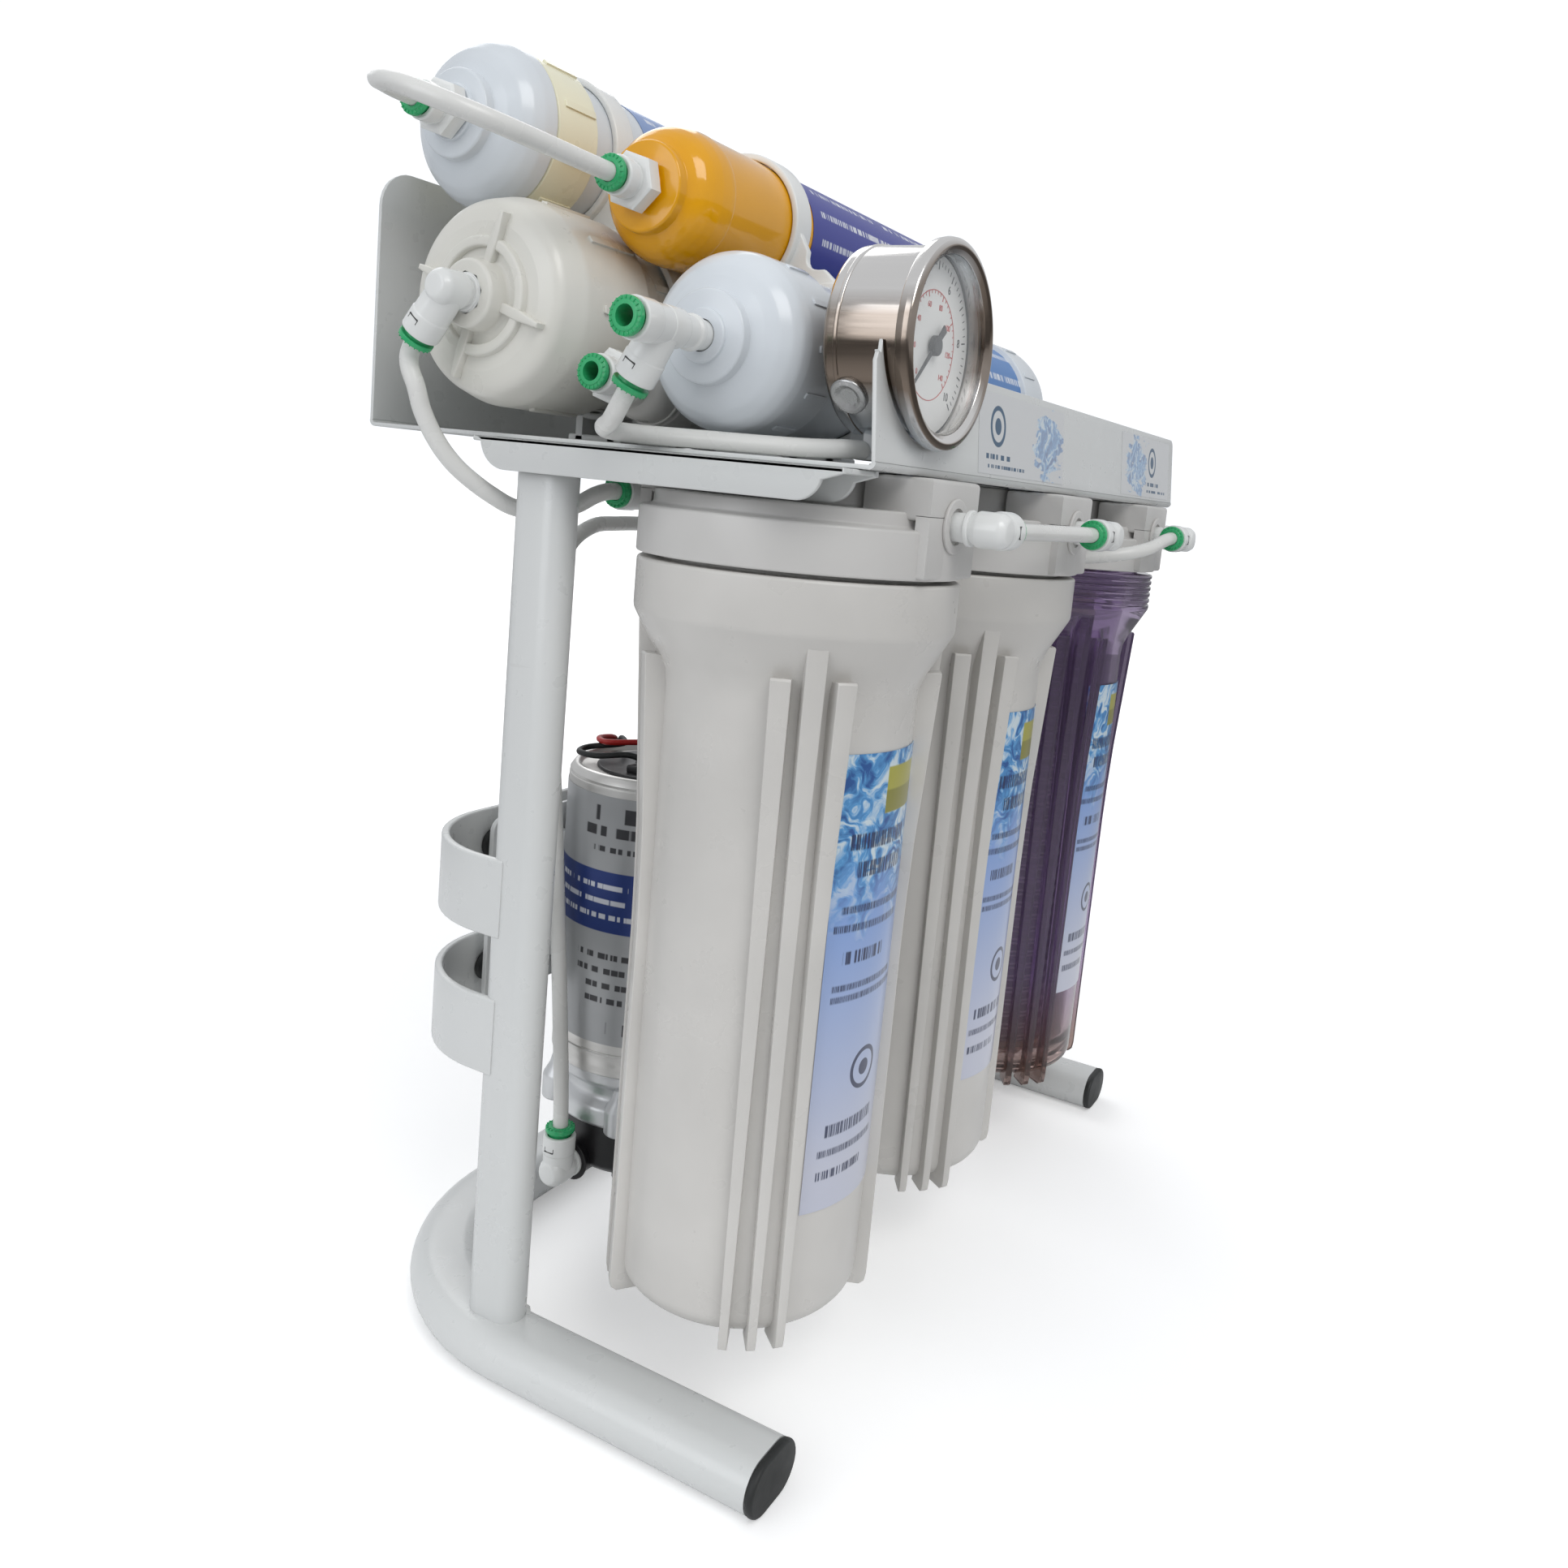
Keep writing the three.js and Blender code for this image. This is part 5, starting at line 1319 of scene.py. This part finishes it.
def tube_line(node):
    """The centres of a CAD tube's sections, in order, starting from the sharp rim of one end."""
    source = bmesh.new()
    source.from_mesh(frame["nodes"][node].data)
    bmesh.ops.remove_doubles(source, verts=source.verts, dist=2e-5)
    rim = {vertex for edge in source.edges if is_corner(edge) for vertex in edge.verts}
    start = min(rim, key=lambda vertex: (round(vertex.co.x, 4), vertex.co.y, vertex.co.z))
    level = {start}
    grow = [start]
    while grow:
        vertex = grow.pop()
        for edge in vertex.link_edges:
            other = edge.other_vert(vertex)
            if is_corner(edge) and other not in level:
                level.add(other)
                grow.append(other)
    seen = set(level)
    line = []
    while level:
        total = Vector()
        for vertex in level:
            total += vertex.co
        line.append(total / len(level) / MM)
        level = {e.other_vert(v) for v in level for e in v.link_edges} - seen
        seen |= level
    source.free()
    return line


def tubes():
    section = ring_outline(0, 0, TUBE_RADIUS, 24)
    for word in ("link", "crossover", "pump", "membrane", "gauge", "loop"):
        node = word + "_tube"
        shape = Shape().add(sweep(section, smooth_line(tube_line(node), 6)))
        piece(node + "_soft", shape, TUBE_PLASTIC, replaces=(node,))


# ---------- pressure gauge ----------

def gauge():
    front = box("gauge_bezel")[0].y
    back = box("gauge_case")[1].y
    where = along_y(GAUGE_X, GAUGE_Z)
    shape = Shape().lathe([
        (0, back - 1.2, 0), (30, back - 1.4, 2), (30.4, front + 6.2, 0.3), (31.4, front + 6.2, 0.3),
        (31.5, front + 9, 0.5), (31.5, back - 1.6, 2.6), (28, back, 1.2), (0, back, 0),
    ], 128, where)
    hoop = [(31.2, back - 7, 0), (31.9, back - 6.6, 0.4), (31.9, back - 5.4, 0.4), (31.2, back - 5, 0)]
    shape.lathe(hoop, 128, where)
    piece("gauge_drum", shape, STAINLESS, replaces=("gauge_case",))

    stem = [(0, 359.4, 0), (6.2, 359.4, 0.4), (6.2, 362, 0.4), (8.3, 362.2, 0.4), (8.3, 371.5, 0.6)]
    stem += [(0, 372, 0)]
    shape = Shape().lathe(stem, 6, move(GAUGE_X, GAUGE_STEM_Y, 0))
    piece("gauge_stem", shape, CAST_METAL, slot="stainless", sharp=30)
    plug = [(0, 0, 0), (6.4, 0, 0.8), (6.4, 2.2, 0.8), (4.6, 2.6, 0.4), (3, 1.6, 0.4), (0, 1.6, 0)]
    outward = Vector((-0.78, 0, -0.62)).normalized()
    spot = Vector((GAUGE_X, back - 9.5, GAUGE_Z)) + outward * 30.6
    piece("gauge_plug", Shape().lathe(plug, 40, frame_matrix(spot, REARWARD, outward)), SCREW_STEEL)

    shape = Shape().lathe([
        (28.5, front + 4.2, 0.3), (28.9, front + 1.8, 0.5), (30.4, front + 0.6, 0.6), (31.6, front, 0.8),
        (33.9, front + 0.9, 1.2), (34.3, front + 3, 0.6), (33.9, front + 5.6, 0.6), (28.5, front + 5.6, 0.3),
    ], 128, where)
    piece("gauge_bezel_ring", shape, STAINLESS, replaces=("gauge_bezel",))
    low, high = box("gauge_lens")
    shape = Shape().lathe([
        (0, low.y - 0.5, 0), (20, low.y - 0.3, 20), (28.3, low.y + 0.3, 0.2), (28.3, high.y, 0.2),
        (0, high.y - 0.3, 0),
    ], 96, where)
    piece("gauge_glass", shape, LENS, replaces=("gauge_lens",))
    dial()

    y = centre("gauge_needle").y
    outline = [(-1.5, -9), (1.5, -9), (0.9, 0), (0.35, 23), (-0.35, 23), (-0.9, 0)]
    turned = move(GAUGE_X, y, GAUGE_Z) @ Matrix.Rotation(math.radians(-DIAL_SWEEP / 2), 4, "Y")
    shape = Shape().add(plate(outline, 0.6, bevel=0.15), turned @ FACING_FRONT)
    hub = [(0, -1.4, 0), (3.3, -1.2, 0.5), (3.4, 0.9, 0.3), (0, 0.9, 0)]
    shape.lathe(hub, 40, where @ move(0, 0, y))
    piece("gauge_pointer", shape, DIAL_BLACK, body="needle", replaces=("gauge_needle",), slot="needle_black")


def dial():
    """Two scales over the sweep: black outside and red inside, with generic numbers."""
    low, high = box("gauge_dial")
    where = along_y(GAUGE_X, GAUGE_Z)
    shape = Shape().lathe([(0, low.y, 0), (29.4, low.y, 0.2), (29.4, high.y, 0.2), (0, high.y, 0)], 96, where)
    piece("gauge_face", shape, DIAL_WHITE, replaces=("gauge_dial",))
    face = low.y - 0.08
    outer, inner = (range(0, 11, 2), 21.6, 4.0), (range(0, 141, 20), 13.4, 2.7)
    dial_marks("dial_outer_scale", DIAL_BLACK, face, 50, 27.2, (1.6, 2.8, 0.28), outer)
    dial_marks("dial_inner_scale", DIAL_RED, face, 35, 17.6, (1.0, 1.8, 0.26), inner)
    ring = [(17.6, face - 0.05, 0), (17.9, face - 0.05, 0), (17.9, face + 0.05, 0), (17.6, face + 0.05, 0)]
    piece("dial_inner_ring", Shape().lathe(ring, 96, where), DIAL_RED)


def dial_angle(part):
    return math.radians(-DIAL_SWEEP / 2 + DIAL_SWEEP * part)


def dial_marks(name, material, face, count, radius, ticks, figures):
    """Ticks and numbers. ticks is a short length, a long one for every fifth, and a width.

    figures is the numbers, their radius and their size.
    """
    short, long, width = ticks
    numbers, number_radius, size = figures
    base = move(GAUGE_X, face, GAUGE_Z)
    shape = Shape()
    for k in range(count + 1):
        length = long if k % 5 == 0 else short
        half = width * (1.6 if k % 5 == 0 else 1) / 2
        outline = [(-half, radius - length), (half, radius - length), (half, radius), (-half, radius)]
        spin = Matrix.Rotation(dial_angle(k / count), 4, "Y")
        shape.add(plate(outline, 0.12, bevel=0.02), base @ spin @ FACING_FRONT)
    for k, number in enumerate(numbers):
        angle = dial_angle(k / (len(numbers) - 1))
        spot = move(math.sin(angle) * number_radius, 0, math.cos(angle) * number_radius)
        shape.add(numeral(str(number), size), base @ spot @ FACING_FRONT)
    piece(name, shape, material)


# ---------- booster pump ----------

def pump():
    low, high = box("pump_motor")
    middle = centre("pump_motor")
    radius = (high.y - low.y) / 2
    where = move(middle.x, middle.y, 0)
    top, bottom = high.z, low.z
    shape = Shape().lathe([
        (radius - 1.6, bottom, 0.2), (radius, bottom, 0.4), (radius, bottom + 9, 0.3),
        (radius - 0.5, bottom + 9.6, 0.3), (radius, bottom + 10.2, 0.3), (radius, top - 5, 0.3),
        (radius - 0.4, top - 4.6, 0.3), (radius - 0.2, top - 3.4, 0.5), (radius - 2.2, top - 0.4, 1.6),
        (radius - 4, top, 0.8), (radius - 5, top - 2.4, 0.5), (0, top - 2.6, 0),
        (0, top - 3.6, 0), (radius - 1.8, top - 3.6, 0.4),
    ], 120, where)
    piece("pump_can", shape, CAN_STEEL, replaces=("pump_motor",))
    shape = Shape().lathe([(0, top - 2.6, 0), (30, top - 2.6, 0.6), (29, top - 1.2, 0.8), (13, top - 0.8, 1),
                           (12, top + 2.6, 1.2), (0, top + 3, 0)], 72, where)
    for side in (-1, 1):
        shape.block((side * 20 - 4, -3, top - 1.4), (side * 20 + 4, 3, top + 1.8), 0.6, where)
    piece("pump_end_cap", shape, BLACK_PLASTIC)
    pump_wires(Vector((middle.x, middle.y, top)))

    def on_can(u, v, lift):
        angle = math.radians(u)
        r = radius + 0.1 + lift
        return Vector((middle.x + r * math.cos(angle), middle.y + r * math.sin(angle), v))

    lines = [(0.93, 0.028, 0.3, 0.72), (0.86, 0.018, 0.28, 0.76), (0.79, 0.009, 0.3, 0.75)]
    lines += [(0.36, 0.01, 0.28, 0.72), (0.3, 0.01, 0.28, 0.7), (0.24, 0.01, 0.3, 0.74)]
    lines += [(0.18, 0.01, 0.3, 0.66), (0.07, 0.022, 0.34, 0.6)]
    stripes = [(0.46, 0.7, (0.02, 0.045, 0.2))]
    material = plain_label("pump label", (0.42, 0.43, 0.44), stripes, lines, 31, metallic=0.35)
    label("pump_label", on_can, (-292, 66), (bottom + 14, top - 8), material, columns=120)
    pump_head(middle)
    pump_bracket(middle, radius)


def pump_wires(start):
    """Two wires from the end cap's terminals, over the can's edge and down its back."""
    wires = (
        ("black", BLACK_RUBBER, [(-14, 0, 2), (-20, 6, 5), (-28, 16, 4), (-26, 27, 3.6), (-16, 30, 3.8),
                                 (-6, 22, 5), (4, 26, 4), (14, 36, 2.6), (19, 40, -6), (20, 40.6, -24)]),
        ("red", RED_WIRE, [(14, 0, 2), (8, 10, 6), (-4, 14, 7), (-14, 22, 7), (-8, 31, 6.5), (4, 33, 5),
                           (12, 37.6, 1), (15, 41.4, -8), (16, 42.2, -24)]),
    )
    for name, material, path in wires:
        line = smooth_line([start + Vector(point) for point in path], 8)
        wire = Shape().add(sweep(ring_outline(0, 0, 1.3, 14), line))
        piece("pump_" + name + "_wire", wire, material, slot="black_plastic")


def fifths(offset=0):
    """Angles of five places around the pump's axis. An offset of 0.5 gives those midway between."""
    return [1.03 + 2 * PI * (k + offset) / 5 for k in range(5)]


def on_circle(angle, radius, z=0):
    return move(radius * math.cos(angle), radius * math.sin(angle), z)


def pump_head(middle):
    """Cast flange with five screw towers, and the valve cover with its ports below."""
    low, high = box("pump_head")
    where = move(middle.x, middle.y, 0)
    shape = Shape().lathe([
        (0, low.z + 0.1, 0), (36, low.z + 0.1, 1), (39, low.z + 2, 2), (38.4, low.z + 9, 3),
        (34.5, low.z + 13, 3), (36, low.z + 18, 2), (39.6, low.z + 21, 2), (39.6, high.z, 1), (6, high.z, 1),
    ], 96, where)
    tower = [(0, low.z + 0.3, 0), (6.8, low.z + 0.3, 1), (6.9, low.z + 11, 3), (4.2, low.z + 16, 3)]
    tower += [(3.2, low.z + 20, 1.5), (0, low.z + 21.5, 0)]
    for angle in fifths():
        shape.lathe(tower, 36, where @ on_circle(angle, 37))
    piece("pump_casting", shape, CAST_METAL, replaces=("pump_head",))

    low, high = box("pump_valve_head")
    port_y, port_z = middle.y + 6, low.z + 7
    shape = Shape().lathe([
        (0, low.z, 0), (27, low.z, 2), (31, low.z + 2, 3), (36, low.z + 6, 3), (36, high.z - 0.1, 1),
        (0, high.z - 0.1, 0),
    ], 96, where)
    for angle in fifths(0.5):
        shape.block((20, -4.5, low.z), (33.5, 4.5, low.z + 9), 1.2, where @ turn_z(angle))
    port = move(middle.x, 0, 0) @ along_x(port_y, port_z)
    near = [(0, -30, 0), (7.2, -30, 0.5), (7.2, -38.6, 0.5), (8.4, -39, 0.5), (8.4, -40, 0.6), (0, -40, 0)]
    shape.lathe(near, 40, port)
    shape.lathe([(0, 30, 0), (7.2, 30, 0.5), (7.2, 50, 3), (0, 52, 0)], 40, port)
    riser = [(0, port_z - 7, 0), (6.8, port_z - 6, 2), (6.8, port_z + 22, 0.8), (4.9, port_z + 22, 0.4)]
    riser += [(4.6, port_z + 12, 0.4), (0, port_z + 12, 0)]
    shape.lathe(riser, 40, move(middle.x + 48, port_y, 0))
    piece("pump_valve_cover", shape, BLACK_PLASTIC, replaces=("pump_valve_head",))
    collet("pump_inlet_collet_ring", Vector((middle.x + 48, port_y, port_z + 22 + COLLET_GAP)), DOWN, RIGHT)
    screws = Shape()
    screw = [(0, 0, 0), (3.6, 0.2, 0.8), (3.6, 2.6, 0.3), (0, 2.6, 0)]
    for angle in fifths():
        screws.lathe(screw, 24, where @ on_circle(angle, 30, low.z))
    piece("pump_cover_screws", screws, SCREW_STEEL)


def pump_bracket(middle, radius):
    """Pressed steel plate behind the can, on four rubber feet screwed to the cross bars."""
    high = box("pump_bracket")[1]
    plate_y = middle.y + radius + 2
    outline = []
    for cx, cz, start in ((52, 34, 0), (-52, 34, 90), (-52, -34, 180), (52, -34, 270)):
        outline += arc(cx, cz, 6, start, start + 90, 6)
    where = move(middle.x, plate_y + 1.25, sum(CROSS_BAR_Z) / 2) @ FACING_FRONT
    shape = Shape().add(plate(outline, 2.3, [ring_outline(0, 0, 9, 40)], bevel=0.5), where)
    for side in (-1, 1):
        x = middle.x + side * 18
        shape.block((x - 2, plate_y - 6, 131), (x + 2, plate_y + 1, 189), 0.6)
    piece("pump_mounting_plate", shape, WHITE_COAT, replaces=("pump_bracket",))
    feet, screws = Shape(), Shape()
    end = high.y - plate_y - 2.6
    foot = [(0, 0, 0), (7, 0, 0.8), (5.8, 2.6, 1), (5.8, 3.6, 1), (7, end, 0.8), (0, end + 0.1, 0)]
    screw = [(0, 0, 0), (5.6, 0, 0.2), (5.6, 0.9, 0.3), (3.8, 1, 0.2), (3.6, 3, 0.9), (0, 3.3, 0)]
    for z in CROSS_BAR_Z:
        for side in (-50, 50):
            axis = along_y(middle.x + side, z)
            feet.lathe(foot, 40, move(0, plate_y + 2.4, 0) @ axis)
            screws.lathe(screw, 32, move(0, CROSS_BAR_REAR, 0) @ axis)
    piece("pump_rubber_feet", feet, BLACK_RUBBER)
    piece("pump_foot_screws", screws, SCREW_STEEL)


# ---------- CAD nodes that stay ----------

def keep_cad_nodes():
    """Hidden inner parts keep their CAD shape and get their materials."""
    inner = {stage + "_seal": BLACK_RUBBER for stage in STAGES}
    inner.update(block_cartridge=CARBON, carbon_cartridge=CARBON)
    inner.update(membrane_element=WRAP, pump_rotor=CAST_METAL)
    for node, material in inner.items():
        mesh = frame["nodes"][node].data
        mesh.materials.clear()
        mesh.materials.append(material)


# ---------- stage ----------

CAMERA_PLACE = at(-542.14, -236.15, 349.62)
CAMERA_YAW, CAMERA_PITCH, CAMERA_ROLL = (math.radians(a) for a in (27.26, -8.11, 5.53))


def camera():
    forward = Vector((math.cos(CAMERA_PITCH) * math.cos(CAMERA_YAW),
                      math.cos(CAMERA_PITCH) * math.sin(CAMERA_YAW), math.sin(CAMERA_PITCH)))
    side = Vector((math.sin(CAMERA_YAW), -math.cos(CAMERA_YAW), 0))
    up = side.cross(forward)
    right = side * math.cos(CAMERA_ROLL) + up * math.sin(CAMERA_ROLL)
    top = up * math.cos(CAMERA_ROLL) - side * math.sin(CAMERA_ROLL)
    data = bpy.data.cameras.new("camera")
    data.lens = 29.61
    data.sensor_width = 36
    data.shift_x = -0.0421
    data.shift_y = -0.0708
    data.clip_start = 0.01
    thing = bpy.data.objects.new("camera", data)
    rotation = Matrix((right, top, -forward)).transposed()
    thing.matrix_world = Matrix.Translation(CAMERA_PLACE * MM) @ rotation.to_4x4()
    bpy.context.scene.collection.objects.link(thing)
    bpy.context.scene.camera = thing


def floor():
    """Pale floor that fades into the white background, seen by the camera as one plain sweep."""
    mesh = bpy.data.meshes.new("floor")
    edit = bmesh.new()
    bmesh.ops.create_grid(edit, x_segments=2, y_segments=2, size=14)
    edit.to_mesh(mesh)
    edit.free()
    thing = bpy.data.objects.new("floor", mesh)
    thing.location.z = -0.0002
    bpy.context.scene.collection.objects.link(thing)
    n = Nodes("pale floor")
    flat = n.node("ShaderNodeVectorMath", {0: n.place, 1: (1, 1, 0)}, operation="MULTIPLY").outputs[0]
    far = n.node("ShaderNodeVectorMath", {0: flat}, operation="LENGTH").outputs["Value"]
    fade = n.remap(far, 0.35, 1.3)
    tint = n.mix(fade, (0.9, 0.9, 0.9), (0.25, 0.25, 0.25))
    seen = n.node("ShaderNodeLightPath").outputs["Is Camera Ray"]
    glow = n.math("MULTIPLY", n.math("ADD", n.math("MULTIPLY", fade, 0.8), 0.28), seen)
    mesh.materials.append(
        n.shade(base_color=tint, roughness=0.8, emission_color=(1, 1, 1), emission_strength=glow))
    thing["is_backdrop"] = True


def lamp(name, place, size, power, colour=(1, 1, 1)):
    """A soft square lamp aimed at the middle of the unit."""
    data = bpy.data.lights.new(name, "AREA")
    data.energy = power
    data.size = size
    data.color = colour
    thing = bpy.data.objects.new(name, data)
    thing.location = place
    aim = Vector((0, -0.1, 0.25)) - thing.location
    thing.rotation_euler = aim.to_track_quat("-Z", "Y").to_euler()
    bpy.context.scene.collection.objects.link(thing)


def lights():
    """A bright room, brighter to the camera than to the unit, and three soft lamps."""
    world = bpy.data.worlds.new("studio")
    world.use_nodes = True
    tree = world.node_tree
    ground = tree.nodes["Background"]
    ground.inputs[0].default_value = (0.95, 0.97, 1, 1)
    path = tree.nodes.new("ShaderNodeLightPath")
    strength = tree.nodes.new("ShaderNodeMapRange")
    strength.inputs[3].default_value = 0.66
    strength.inputs[4].default_value = 1.1
    tree.links.new(path.outputs["Is Camera Ray"], strength.inputs[0])
    tree.links.new(strength.outputs[0], ground.inputs[1])
    bpy.context.scene.world = world
    lamp("key", (-0.9, -1.3, 1.7), 1.0, 13, (1, 0.99, 0.97))
    lamp("fill", (-1.8, 0.3, 0.9), 1.2, 8, (0.95, 0.97, 1))
    lamp("back", (0.9, 1.2, 1.5), 1.2, 7)
    bpy.context.scene.view_settings.view_transform = "Standard"


# ---------- the unit ----------

stand()
foot_caps()
tray()
for stage in STAGES:
    head(stage)
    sump(stage)
sump_labels()
sediment_cartridge()
housing_screws()
membrane_housing()
filters()
double_clip("mineral_clip", "mineral_filter", 24.3, "post_carbon_filter", 28.3, hole=True)
double_clip("polishing_clip", "polishing_filter", 27.3, "membrane_housing", 33.8)
fittings()
tubes()
gauge()
pump()
keep_cad_nodes()
camera()
floor()
lights()

plain = [[list(corner) for corner in bounds] for bounds in (cad_bounds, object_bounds())]
